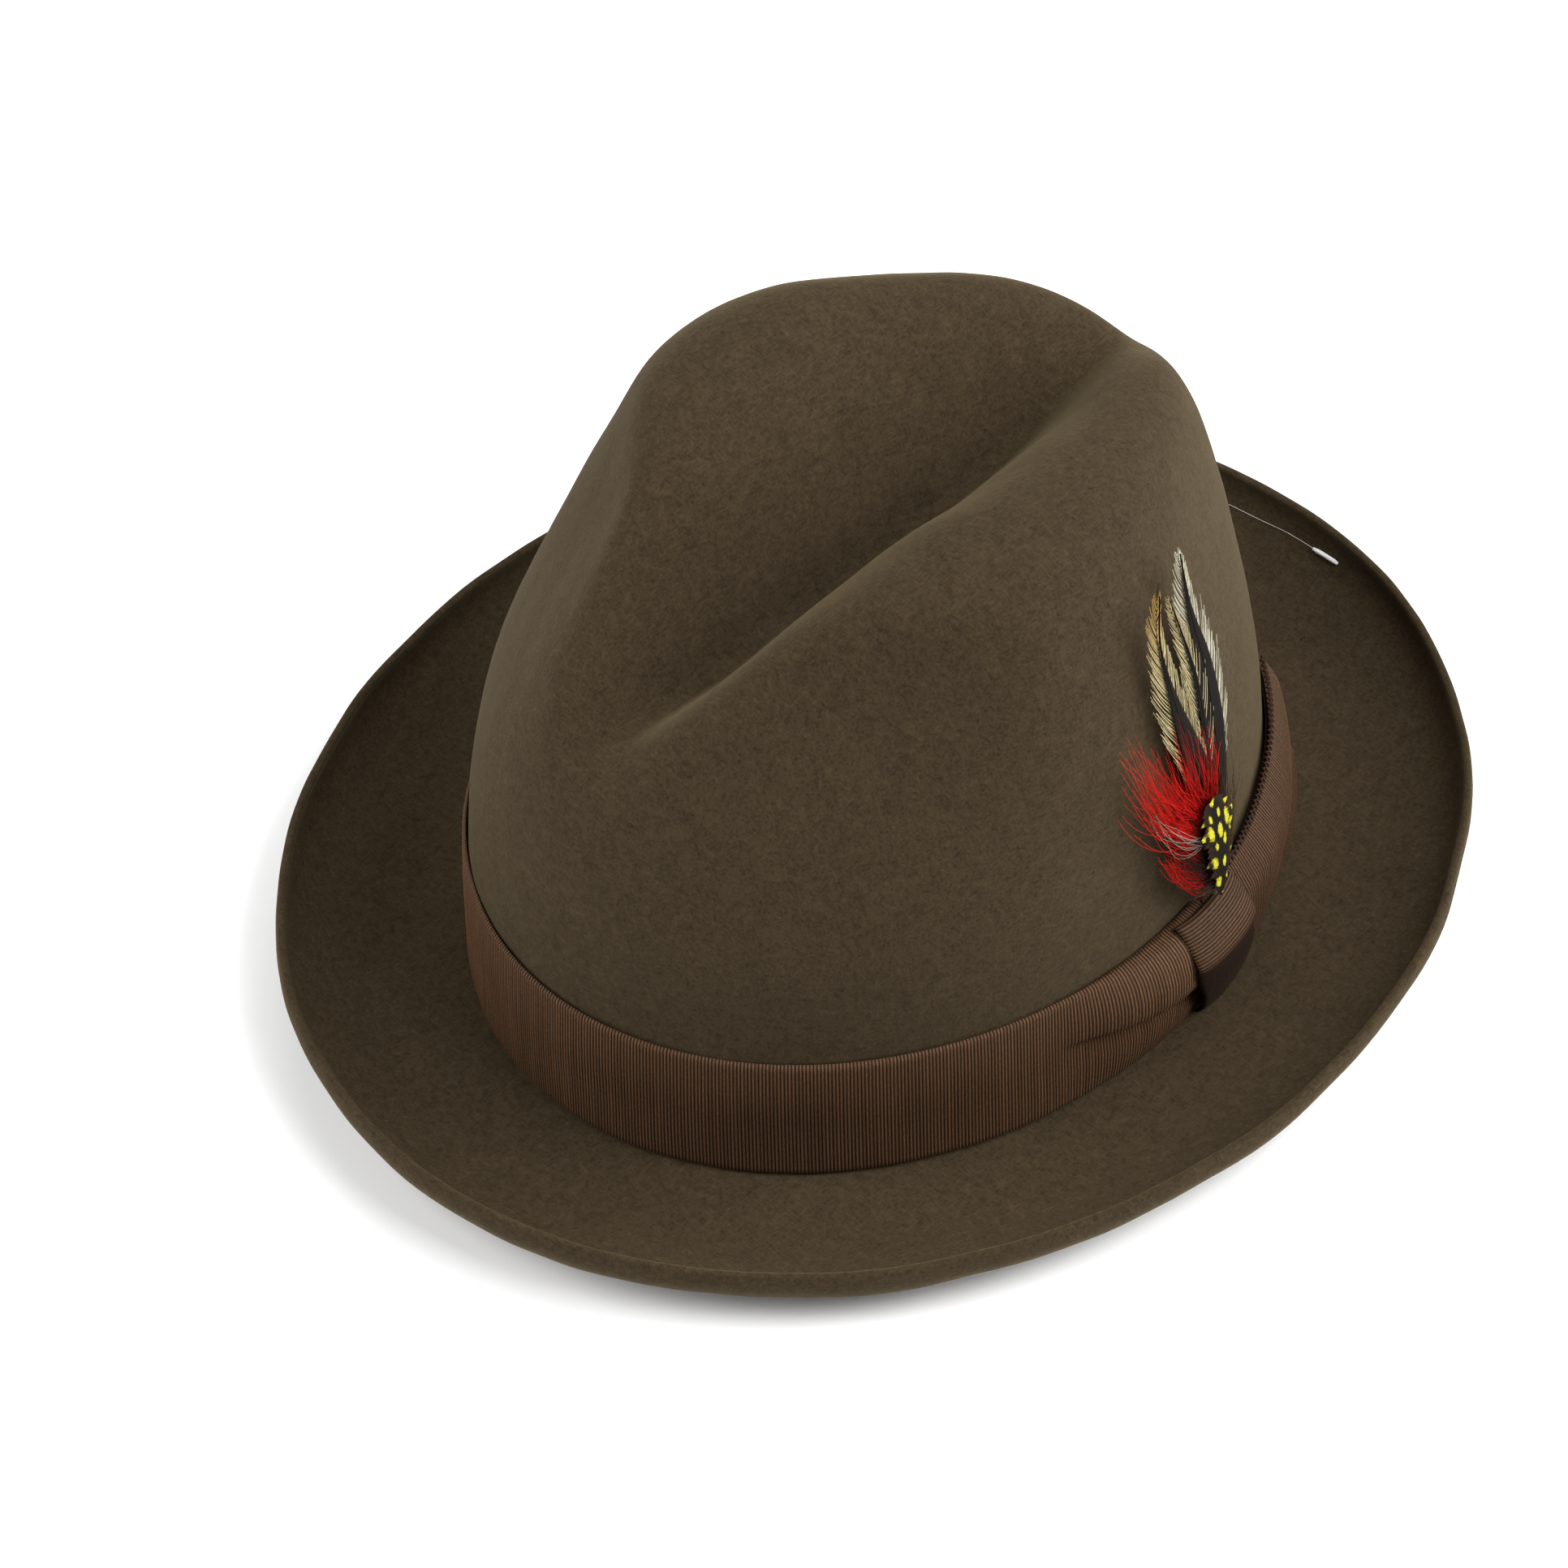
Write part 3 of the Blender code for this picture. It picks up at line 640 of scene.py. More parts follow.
def band_line(seam):
    """Distances along the band from its seam, and the angles round the hat that they reach."""
    probe = np.linspace(seam, seam + 2 * math.pi, 4001)
    line = wall_point(probe, 0.02 + 0 * probe, 0.001 + 0 * probe)
    length = lengths_along(line)
    ribs = int(length[-1] / RIB_PITCH)
    along = np.linspace(0.0002, ribs * RIB_PITCH - 0.0002, ribs * RIB_STEPS + 1)
    return along, np.interp(along, length, probe)[:, None]


def make_band(material):
    along, angle = band_line((KNOT_START + KNOT_END) / 2)
    share = np.concatenate([[0, 0.02, 0.06], np.linspace(0.10, 0.31, 6),
                            np.linspace(0.33, 0.52, 11), np.linspace(0.58, 0.94, 5),
                            [0.98, 1.0]])[None]
    plain, pleated = band_section(share)
    turned = angle - 2 * math.pi
    near_knot = ease(PLEAT_START, KNOT_START - math.radians(1.0), turned) ** 0.75
    bent = plain * (1 - near_knot[..., None]) + pleated * near_knot[..., None]
    relief = rib_relief(along)[:, None]
    edge = np.clip(1 - np.minimum(share, 1 - share) / 0.02, 0, 1)
    scallop = edge * (relief - 0.5) * 0.00022 * np.sign(0.5 - share)
    base = BAND_GAP + pin_room(turned) * (1 - near_knot) + pin_room(angle)
    waver = ripple(stack(along[:, None], share * 0.03, 0 * relief), 0.02, 11) * 0.00012
    lift = (BAND_THICKNESS + RIB_HEIGHT * relief + waver) * (1 - 0.75 * edge)
    front = wall_point(angle, bent[..., 1] + scallop, base + bent[..., 0] + lift)
    foot = BAND_BOTTOM + 0.0001
    edges = np.array((foot + BAND_HEIGHT - 0.0002, foot))[None]
    back = wall_point(angle, edges, base)
    points, faces = slab(front, back)
    cloth = np.concatenate([stack(along[:, None], share * BAND_HEIGHT, 0 * relief),
                            stack(along[:, None], edges - foot, 0 * relief)[:, ::-1]], axis=1)
    band = make_piece("band_ribbon", points, faces, material, "hat",
                      ["hat_band"], cloth=cloth)


def lengths_along(line):
    """The distance from a line's start to each of its points."""
    steps = np.linalg.norm(np.diff(line, axis=0), axis=1)
    return np.concatenate([[0], np.cumsum(steps)])


def smooth_line(marks, count):
    """Points evenly spread along a smooth curve through marks, and the curve's length."""
    marks = np.asarray(marks, float)
    padded = np.vstack([2 * marks[0] - marks[1], marks, 2 * marks[-1] - marks[-2]])
    t = np.linspace(0, 1, 24, endpoint=False)[:, None]
    pieces = []
    for k in range(len(marks) - 1):
        a, b, c, d = padded[k:k + 4]
        pieces.append(0.5 * (2 * b + (c - a) * t + (2 * a - 5 * b + 4 * c - d) * t ** 2
                             + (3 * b - a - 3 * c + d) * t ** 3))
    line = np.vstack(pieces + [marks[-1:]])
    steps = lengths_along(line)
    even = np.linspace(0, steps[-1], count)
    columns = [np.interp(even, steps, line[:, k]) for k in range(line.shape[1])]
    return np.stack(columns, axis=1), steps[-1]


def cloth_slab(surface, across, thickness, relief, soften=0.0012):
    """A ribbon's two faces round a surface grid with rows along it."""
    normal = unit(np.cross(np.gradient(surface, axis=1), np.gradient(surface, axis=0)))
    width = across.max() - across.min()
    from_edge = np.minimum(across - across.min(), across.max() - across)
    rounding = np.sqrt(np.clip(from_edge / min(soften, width / 2), 0.02, 1.0))
    half = thickness / 2 * rounding
    front = surface + normal * (half + relief * rounding)[..., None]
    back = surface - normal * half[..., None]
    return front, back


def make_ribbon(name, surface, along, across, material, node, dark):
    """A folded ribbon; dark is painted shade: how much darker than the band it is drawn, from 0 to 1."""
    relief = RIB_HEIGHT * rib_relief(along)
    front, back = cloth_slab(surface, across, BAND_THICKNESS - 0.0002, relief)
    points, faces = slab(front, back)
    one = stack(along, across, dark + 0 * across)
    cloth = np.concatenate([one, one[:, ::-1]], axis=1)
    item = make_piece(name, points, faces, material, "hat", [node], cloth=cloth)


# The wrap's line over the band and down its face: (offset, height) in metres.
KNOT_LINE = np.array(((2.2, 36.5), (3.0, 39.6), (4.9, 40.4), (8.0, 36.6), (10.5, 32.6),
                      (11.2, 30.6), (10.8, 28.0), (9.0, 19.0), (7.0, 11.0), (5.0, 5.0),
                      (3.4, 3.4))) / 1000


def make_knot(material):
    """The wrap: its ribs run round the hat, and its length goes over the band and under it."""
    length = smooth_line(KNOT_LINE, 10)[1]
    rows = int(length / RIB_PITCH) * RIB_STEPS + 1
    line = smooth_line(KNOT_LINE, rows)[0]
    share = np.linspace(0, 1, 22)[None]
    bow = 0.0006 * np.sin(math.pi * share)
    slant = KNOT_SLANT * ease(0.031, 0.004, line[:, 1:2])
    angle = KNOT_START + (KNOT_END - KNOT_START) * share + slant
    tuck = 0.0009 * (np.abs(2 * share - 1) ** 4)
    surface = wall_point(angle, line[:, 1:2] + 0 * share, line[:, :1] + bow - tuck)
    along = np.linspace(0, length, rows)[:, None] + 0 * share
    across = share * KNOT_WIDTH + 0 * along
    # painted shade: the whole wrap is drawn darker than the band, and its lower, under-folded part darker
    # still as painted shadow
    dark = 0.30 + 0.56 * ease(0.0315, 0.0285, surface[..., 2])
    make_ribbon("knot_wrap", surface, along, across, material, "bow_knot", dark)


# The tail's section at places along it: (offset, height) in metres, top to bottom.
TAIL_PLACES = (0.0, 0.25, 0.45, 0.70, 1.0)
TAIL_SECTIONS = np.array((
    ((3.0, 42.0), (5.6, 36.5), (7.6, 30.5), (6.4, 20.0), (5.0, 11.0), (4.2, 4.6)),
    ((2.3, 42.2), (5.7, 36.5), (7.7, 30.5), (6.3, 19.0), (5.0, 10.5), (4.2, 4.8)),
    ((1.9, 42.4), (5.5, 35.0), (7.0, 27.5), (6.0, 17.5), (5.0, 10.0), (5.4, 4.8)),
    ((1.8, 42.4), (5.0, 34.5), (6.1, 24.5), (5.8, 16.0), (5.9, 10.0), (8.0, 4.9)),
    ((1.8, 42.4), (5.1, 35.0), (6.4, 26.0), (7.4, 17.5), (8.6, 10.0), (10.0, 5.6)))) / 1000


def make_tail(material):
    """The flat end that runs back from the knot: bulging near its top, flaring at its foot."""
    steps = int(TAIL_LENGTH / RIB_PITCH) * RIB_STEPS + 1
    columns = 40
    share = np.linspace(0, 1, steps)
    lines = np.array([smooth_line(section, columns)[0] for section in TAIL_SECTIONS])
    reach = share[:, None] + 0.03 * np.sin(math.pi * share)[:, None] * np.linspace(-1, 1, columns)
    rows = np.array([[np.interp(share, TAIL_PLACES, lines[:, k, c]) for c in (0, 1)]
                     for k in range(columns)])
    offset, height = rows[:, 0].T, rows[:, 1].T
    lean = KNOT_SLANT * 0.8 * ease(0.031, 0.004, height) * (1 - share[:, None])
    angle = TAIL_START + (TAIL_END - TAIL_START) * np.clip(reach, 0, 1) + lean
    surface = wall_point(angle, height, offset)
    along = share[:, None] * TAIL_LENGTH + 0 * reach
    across = np.linspace(0, BAND_HEIGHT, columns)[None] + 0 * reach
    surface = surface + np.array((0, 0, 1.0)) * (ripple(surface, 0.02, 17) * 0.0002)[..., None]
    # painted shade: the tail is drawn darker than the band by 0.26
    make_ribbon("tail_ribbon", surface, along, across, material, "bow_tail", 0.26)
    return surface


def make_selvage(surface, thread):
    """Two wavy cords along the tail's top edge and loose threads at its cut end."""
    cords = []
    for edge, turn in ((surface[:, 0], 0.0), (surface[:, 1], math.pi)):
        wave = np.arange(len(edge)) * 0.8 + turn
        sway = stack(0.00026 * np.cos(wave), 0.00026 * np.cos(wave), 0.00030 * np.sin(wave))
        cords.append(edge + sway + np.array((0, 0, 0.0004)))
    random = np.random.default_rng(41)
    t = np.linspace(0, 1, 5)[:, None]
    ends = []
    for _ in range(26):
        column = random.integers(0, surface.shape[1])
        start = surface[-1, column]
        ahead = unit(start - surface[-4, column])
        bend = random.normal(size=3) * 0.0009
        reach = ahead * t * random.uniform(0.0006, 0.0022)
        ends.append(start - ahead * 0.0004 + reach + bend * t ** 2)
    points, faces = join([tubes(np.array(cords), 0.00028, 6), tubes(np.array(ends), 0.00007, 4)])
    make_piece("tail_selvage", points, faces, thread, "hat", ["bow_tail"])


# ---- inside ----
def inside_hoop(heights, insets, count=300):
    """A closed band of points inside the wall, with rows round the hat."""
    angle = (np.arange(count) * (2 * math.pi / count))[:, None]
    return wall_point(angle, np.asarray(heights)[None], -np.asarray(insets)[None])


def make_sweatband(leather):
    heights = np.concatenate([[SWEATBAND_BOTTOM], np.linspace(0.0045, 0.0385, 14), [SWEATBAND_TOP]])
    inset = np.full(heights.shape, SWEATBAND_INSET)
    front = inside_hoop(heights, inset + SWEATBAND_THICKNESS)
    front += (ripple(front, 0.012, 21) * 0.00010)[..., None] * np.array((1.0, 1.0, 0))
    back = inside_hoop(heights, inset)
    front[:, 0] = 0.5 * (front[:, 0] + back[:, 0])
    front[:, -1] = 0.5 * (front[:, -1] + back[:, -1])
    points, faces = slab(front, back, hoop=True)
    make_piece("sweatband_strip", points, faces, leather, "hat", ["sweatband"])


def closed_tube(name, path, radius, material, nodes, twist=0, sides=8):
    """A cord round the hat; twist is how many ridges of its ply show along each side."""
    steps = len(path)
    ahead = unit(np.roll(path, -1, axis=0) - np.roll(path, 1, axis=0))
    side = unit(np.cross(ahead, np.array((0, 0, 1.0))))
    other = np.cross(ahead, side)
    turn = np.arange(sides) * (2 * math.pi / sides)
    place_along = np.arange(steps)[:, None] * (2 * math.pi / steps)
    swell = 1 + (0.16 * np.cos(2 * turn[None] + twist * place_along) if twist else 0)
    size = radius * swell * np.ones((steps, sides))
    points = path[:, None] + (side[:, None] * np.cos(turn)[:, None]
                              + other[:, None] * np.sin(turn)[:, None]) * size[..., None]
    faces = grid_faces(steps + 1, sides, closed=True) % (steps * sides)
    make_piece(name, points, faces.tolist(), material, "hat", nodes)


def make_reed(leather):
    path = inside_hoop((FELT,), (SWEATBAND_INSET + 0.0004,), 400)[:, 0]
    path[:, 2] = 0.0015
    closed_tube("reed_cord", path, 0.0009, leather, ["sweatband_reed"], 900)


def make_stitches(thread):
    """Separate slanted stitches round the sweatband's lower edge."""
    count = 200
    angle = np.arange(count) * (2 * math.pi / count)
    marks = np.linspace(-1, 1, 5)
    angles = angle[:, None] + marks * (0.32 * 2 * math.pi / count)
    heights = 0.0065 + 0.00018 * marks + 0 * angles
    insets = SWEATBAND_INSET + SWEATBAND_THICKNESS + 0.00020 - 0.00028 * marks ** 4 + 0 * angles
    paths = wall_point(angles, heights, -insets)
    points, faces = tubes(paths, 0.00022 * np.sqrt(1.05 - marks ** 2), 5)
    make_piece("sweatband_stitches", points, faces, thread, "hat",
               ["sweatband_stitching"])


def loop_strip(centre, width, bulge, tilt, steps=26, across=8):
    """One loop of a flat bow: out from the knot and back, seen from inside the hat."""
    t = np.linspace(0, 2 * math.pi, steps)[:, None]
    s = np.linspace(-1, 1, across)[None]
    out = (1 - np.cos(t)) / 2
    x = centre + width * out + 0 * s
    y = bulge * np.sin(t) + 0 * s
    half = 0.0012 + 0.0018 * out
    z = s * half + tilt * out
    return stack(x, y, z)


def make_inner_bow(satin):
    grids = []
    for side in (1, -1):
        grids.append(loop_strip(0.0007 * side, 0.0080 * side, 0.0008, 0.0004 * side))
    knot_t = np.linspace(0, 2 * math.pi, 18)[:, None]
    knot_s = np.linspace(-1, 1, 6)[None]
    grids.append(stack(knot_s * 0.0011 + 0 * knot_t, np.sin(knot_t) * 0.0011 + 0 * knot_s,
                       np.cos(knot_t) * 0.0017 + 0 * knot_s))
    parts = []
    for grid in grids:
        normal = unit(np.cross(np.gradient(grid, axis=1), np.gradient(grid, axis=0)) + 1e-12)
        parts.append(slab(grid + normal * 0.00012, grid - normal * 0.00012))
    points, faces = join(parts)
    low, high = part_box("sweatband_bow")
    middle = np.array((low + high) / 2)
    make_piece("inner_bow", points + middle, faces, satin, "hat", ["sweatband_bow"])


def make_label(cloth):
    """A blank woven label with a folded rim, lying on the sweatband."""
    across = np.linspace(-1, 1, 30)[:, None]
    up = np.linspace(-1, 1, 40)[None]
    wall_radius = 0.0965
    angle = LABEL_ANGLE + across * LABEL_WIDTH / 2 / wall_radius
    inset = SWEATBAND_INSET + SWEATBAND_THICKNESS + 0.0004
    from_middle = np.maximum(np.abs(across), np.abs(up))
    rim = ease(0.86, 0.92, from_middle)
    fade = ease(1.0, 0.96, from_middle)
    height = 0.022 + up * LABEL_HEIGHT / 2
    front = wall_point(angle, height, -(inset + 0.0002 + 0.0002 * rim * fade))
    back = wall_point(angle, height, -inset + 0 * rim)
    points, faces = slab(front, back)
    label = make_piece("label_patch", points, faces, cloth, "hat", ["size_label"])


def make_lining_wall(satin):
    """The lining's side: tucked behind the sweatband, then gathered up to the seam."""
    angle = (np.arange(LINING_STEPS) * (2 * math.pi / LINING_STEPS))[:, None]
    heights = np.linspace(LINING_BOTTOM, SWEATBAND_TOP + 0.0015, 5)
    tucked = wall_point(angle, heights[None], -(FELT + 0.0005) + 0 * heights[None])
    start = float(climb_to_height(0.0, SWEATBAND_TOP + 0.004))
    climbs = np.linspace(start, LINING_SEAM - 0.02, 26)[None]
    gather = np.cos(angle * 46) * ease(start, LINING_SEAM, climbs)
    gather += 0.5 * np.cos(angle * 71 + 1.3) * ease(start, LINING_SEAM, climbs)
    depth = LINING_DEPTH + 0.00035 * (1 + gather * 0.66)
    back = np.concatenate([tucked, inside_point(angle, climbs, depth)], axis=1)
    inward = unit(np.array((0, HAT_Y, 0.075)) - back)
    points, faces = slab(back + inward * LINING_THICKNESS, back, hoop=True)
    wall = make_piece("lining_wall", points, faces, satin, "hat", ["lining_side"])


def make_lining_crown(satin):
    """The lining's tip, under the crown's crease."""
    angles = felt_angles(LINING_STEPS)[None]
    climbs = np.linspace(LINING_SEAM + 0.02, 1.556, 60)[:, None]
    upper = inside_point(angles, climbs, LINING_DEPTH + 0 * climbs)
    lower = upper - crown_frame(angles, climbs)[1] * LINING_THICKNESS
    top = inside_point(0.0, math.pi / 2, LINING_DEPTH)
    rings = np.concatenate([lower[::-1], upper])
    points, faces = dome(rings, top - np.array((0, 0, LINING_THICKNESS)), top)
    tip = make_piece("lining_crown", points, faces, satin, "hat", ["lining_tip"])


def make_lining_cord(cord):
    angle = np.arange(LINING_STEPS) * (2 * math.pi / LINING_STEPS)
    depth = LINING_DEPTH + LINING_THICKNESS + 0.0012
    path = inside_point(angle, LINING_SEAM, depth + 0 * angle)
    closed_tube("lining_cord", path, 0.0006, cord, ["lining_piping"], 620)


# ---- plume ----
def plume_matrix():
    """Plume axes: X out of the wall, Y to the back, Z along the quills, in millimetres."""
    climb = climb_to_height(PLUME_ANGLE, PLUME_HEIGHT)
    origin, normal = crown_frame(PLUME_ANGLE, climb)
    back = unit(np.array((-normal[1], normal[0], 0.0)))
    return origin, np.stack([normal, back, np.cross(normal, back)])


def to_world(local):
    origin, axes = plume_matrix()
    return origin + (np.asarray(local) / 1000.0) @ axes


def barbs(spine, halves, count, sweep, layer, random, steps=7):
    """Curved barbs each side of a spine of (side, up) points: their paths and places along it.

    halves gives the vane's half width along the spine, and sweep its barbs' lean forward.
    """
    along = np.linspace(0, 1, len(spine))
    paths, places = [], []
    for k in range(count):
        t = (k + random.uniform(0.0, 0.9)) / count
        base = np.array([np.interp(t, along, spine[:, c]) for c in range(2)])
        ahead = np.array([np.interp(min(t + 0.03, 1), along, spine[:, c]) for c in range(2)]) \
            - np.array([np.interp(max(t - 0.03, 0), along, spine[:, c]) for c in range(2)])
        ahead = ahead / np.linalg.norm(ahead)
        for side in (1, -1):
            across = np.array((ahead[1], -ahead[0])) * side
            half = float(np.interp(t, along, halves)) * random.uniform(0.82, 1.12)
            lean = sweep * random.uniform(0.85, 1.15)
            s = np.linspace(0, 1, steps)
            out = half * (s - 0.12 * s ** 3)
            forward = half * lean * (0.75 * s + 0.55 * s ** 2)
            flat = base + across * out[:, None] + ahead * forward[:, None]
            random.normal(size=2)      # unused: it keeps the later draws as they are
            depth = layer + 0.35 * s * side * 0.4 + random.uniform(-0.18, 0.18)
            up = flat[:, 1]
            lean_in = PLUME_LEAN * np.clip(up, 0, None) ** 2
            paths.append(stack(depth - lean_in, flat[:, 0], up))
            places.append(t)
    return np.array(paths), np.array(places)


def quill(spine, layer, thick):
    """A quill's line over the spine and its radius, which tapers to the tip."""
    up = spine[:, 1]
    local = stack(layer + 0.2 - PLUME_LEAN * np.clip(up, 0, None) ** 2, spine[:, 0], up)
    fine = smooth_line(local, 30)[0]
    return fine, thick * np.linspace(1.0, 0.25, 30)


def vane_core(spine, halves, layer):
    """The dense dark middle of a hackle: a thin lens-shaped strip, as points and faces."""
    ahead = unit(np.gradient(spine, axis=0))
    across = stack(ahead[:, 1], -ahead[:, 0])
    turn = np.arange(10) * (2 * math.pi / 10)
    place_on = spine[:, None] + across[:, None] * (halves[:, None] * np.cos(turn))[..., None]
    up = place_on[..., 1]
    depth = layer + 0.48 + 0.14 * np.sin(turn) - PLUME_LEAN * np.clip(up, 0, None) ** 2
    rings = to_world(stack(depth, place_on[..., 0], up))
    return dome(rings, rings[0].mean(axis=0), rings[-1].mean(axis=0))


def feather(name, spine, halves, count, sweep, layer, material, node, colour, seed,
            core, radius):
    """A hackle of separate barbs round a dark core; colour gives the barbs' tint."""
    random = np.random.default_rng(seed)
    spine = smooth_line(spine, 40)[0]
    halves = np.interp(np.linspace(0, 1, 40), np.linspace(0, 1, len(halves)), halves)
    paths, places = barbs(spine, halves, count, sweep, layer, random)
    share = np.linspace(0, 1, paths.shape[1])
    size = radius * (1 - 0.62 * share) / 1000
    points, faces = tubes(to_world(paths), size, 3)
    tint = colour(places[:, None] + 0 * share, share[None] + 0 * places[:, None])
    tint = tint * random.uniform(0.7, 1.15, size=(len(places), 1, 1))
    tints = np.repeat(tint.reshape(-1, 3), 3, axis=0)
    core_halves = np.interp(np.linspace(0, 1, 40), np.linspace(0, 1, len(core)), core)
    middle = vane_core(spine, core_halves, layer + 0.25)
    stem, width = quill(spine, layer + 0.75, 0.22)
    stalk = tubes(to_world(stem)[None], width[None] / 1000, 6)
    core_tint = np.tile(BLACK, (len(middle[0]), 1))
    stem_tint = np.tile(2.2 * BLACK, (len(stalk[0]), 1))
    tints = np.clip(np.vstack([tints, core_tint, stem_tint]), 0, 1)
    points, faces = join([(points, faces), middle, stalk])
    make_piece(name, points, faces, material, "plume", [node], tint=tints)


def wisps(name, groups, material, node, layer, seed, radius):
    """Curling strands; a group is (count, base, base spread, tips, tip spread, curl, colour)."""
    random = np.random.default_rng(seed)
    paths, tints = [], []
    t = np.linspace(0, 1, 12)[:, None]
    for count, base, base_spread, tips, tip_spread, curl, colour in groups:
        tips = np.array(tips, float)
        for _ in range(count):
            start = np.array(base) + random.normal(size=2) * base_spread
            at = random.uniform(0, len(tips) - 1)
            low = min(int(at), len(tips) - 2)
            tip = tips[low] + (tips[low + 1] - tips[low]) * (at - low)
            tip = start + (tip - start) * random.uniform(0.60, 1.10) + random.normal(size=2) * tip_spread
            hook = curl + random.normal() * 0.22
            bend = start + (tip - start) * np.array((random.uniform(0.55, 0.9), hook))
            flat = start * (1 - t) ** 2 + 2 * bend * t * (1 - t) + tip * t ** 2
            wave = np.sin(t[:, 0] * random.uniform(4, 8) + random.uniform(0, 6)) * 0.7 * t[:, 0]
            depth = layer + random.uniform(-0.5, 0.7) + wave - 1.2 * t[:, 0] ** 2
            lean_in = PLUME_LEAN * np.clip(flat[:, 1], 0, None) ** 2
            paths.append(stack(depth - lean_in, flat[:, 0] + 0.5 * wave, flat[:, 1]))
            shade = random.uniform(0.65, 1.15)
            tints.append(np.array(colour) * shade * (0.75 + 0.35 * t))
    points, faces = tubes(to_world(np.array(paths)), radius * (1.05 - 0.75 * t[:, 0]) / 1000, 3)
    tints = np.clip(np.repeat(np.array(tints).reshape(-1, 3), 3, axis=0), 0, 1)
    make_piece(name, points, faces, material, "plume", [node], tint=tints)


CREAM = np.array((0.50, 0.42, 0.23))
GOLD = np.array((0.47, 0.29, 0.075))
PALE = np.array((0.55, 0.52, 0.40))
BLACK = np.array((0.0075, 0.0062, 0.0045))
YELLOW = np.array((0.48, 0.44, 0.022))


def hackle_tint(outer, tip_dark):
    def colour(along, out):
        edge = 0.22 * np.clip(1.1 - along, 0, 1) ** 0.5
        dark = ease(edge + 0.04, edge - 0.04, out)
        base = outer + (GOLD - outer) * (ease(0.70, 1.0, along) * tip_dark)[..., None]
        end = ease(0.965, 1.0, along) * tip_dark
        amount = np.maximum(dark, end)[..., None]
        return base * (1 - amount) + BLACK * amount
    return colour


def spotted_vane(material, seed=36):
    """A short rounded black feather with rows of yellow ovals, its edge split into barbs."""
    rows, columns = 110, 72
    layer = 8.2
    spine = smooth_line(((-3.4, 2.0), (-2.6, 12.0), (-2.8, 23.0), (-4.4, 33.0)), rows)[0]
    share = np.linspace(0, 1, rows)
    half = np.interp(share, (0, 0.1, 0.3, 0.55, 0.8, 0.93, 1), (0.7, 2.6, 5.6, 6.9, 6.2, 4.4, 1.4))
    split = np.interp(np.arange(rows), np.arange(0, rows, 2),
                      np.random.default_rng(seed).uniform(0.56, 1.14, size=(rows + 1) // 2))
    across = np.linspace(-1, 1, columns)
    side = spine[:, :1] + (half * split)[:, None] * across
    up = spine[:, 1:] + 0.40 * half[:, None] * np.abs(across) ** 1.2
    belly = 0.9 * (1 - across ** 2) * np.sin(math.pi * share ** 0.6)[:, None]
    groove = 0.05 * np.sin((up - 0.4 * np.abs(side - spine[:, :1])) * 9.0)
    lean_in = PLUME_LEAN * np.clip(up, 0, None) ** 2
    front = stack(layer + belly + groove - lean_in, side, up)
    back = stack(layer + belly - 0.16 - lean_in, side, up)
    points, faces = slab(to_world(front), to_world(back))
    v = up - 0.40 * half[:, None] * np.abs(across) ** 1.2
    row = np.floor(v / 5.2)
    slot_x = (side - spine[:, :1]) / 3.5 + 0.5 * np.mod(row, 2)
    chance = np.sin(12.9 * np.round(slot_x) + 78.2 * row)
    dx = (slot_x - np.round(slot_x)) * 3.5 + 0.35 * chance
    dy = v - (row + 0.5) * 5.2 + 0.7 * np.sin(3.1 * chance + row)
    size = (0.70 + 0.20 * np.sin(5.0 * chance)) * np.interp(up, (2, 12, 30), (0.65, 0.95, 1.15))
    inside = (dx ** 2 + (dy / 2.2) ** 2) / size ** 2 + 0.25 * np.sin(side * 11.0)
    rim = ease(1.0, 0.93, np.abs(across))[None] * ease(0.02, 0.06, share)[:, None]
    spot = (ease(1.2, 0.85, inside) * rim)[..., None]
    ground = BLACK + np.array((0.016, 0.007, 0.002)) * np.abs(across)[:, None] ** 2
    one = ground * (1 - spot) + YELLOW * spot
    tint = np.concatenate([one, one[:, ::-1]], axis=1).reshape(-1, 3)
    make_piece("feather_spotted", points, faces, material, "plume",
               ["spotted_feather"], tint=tint)


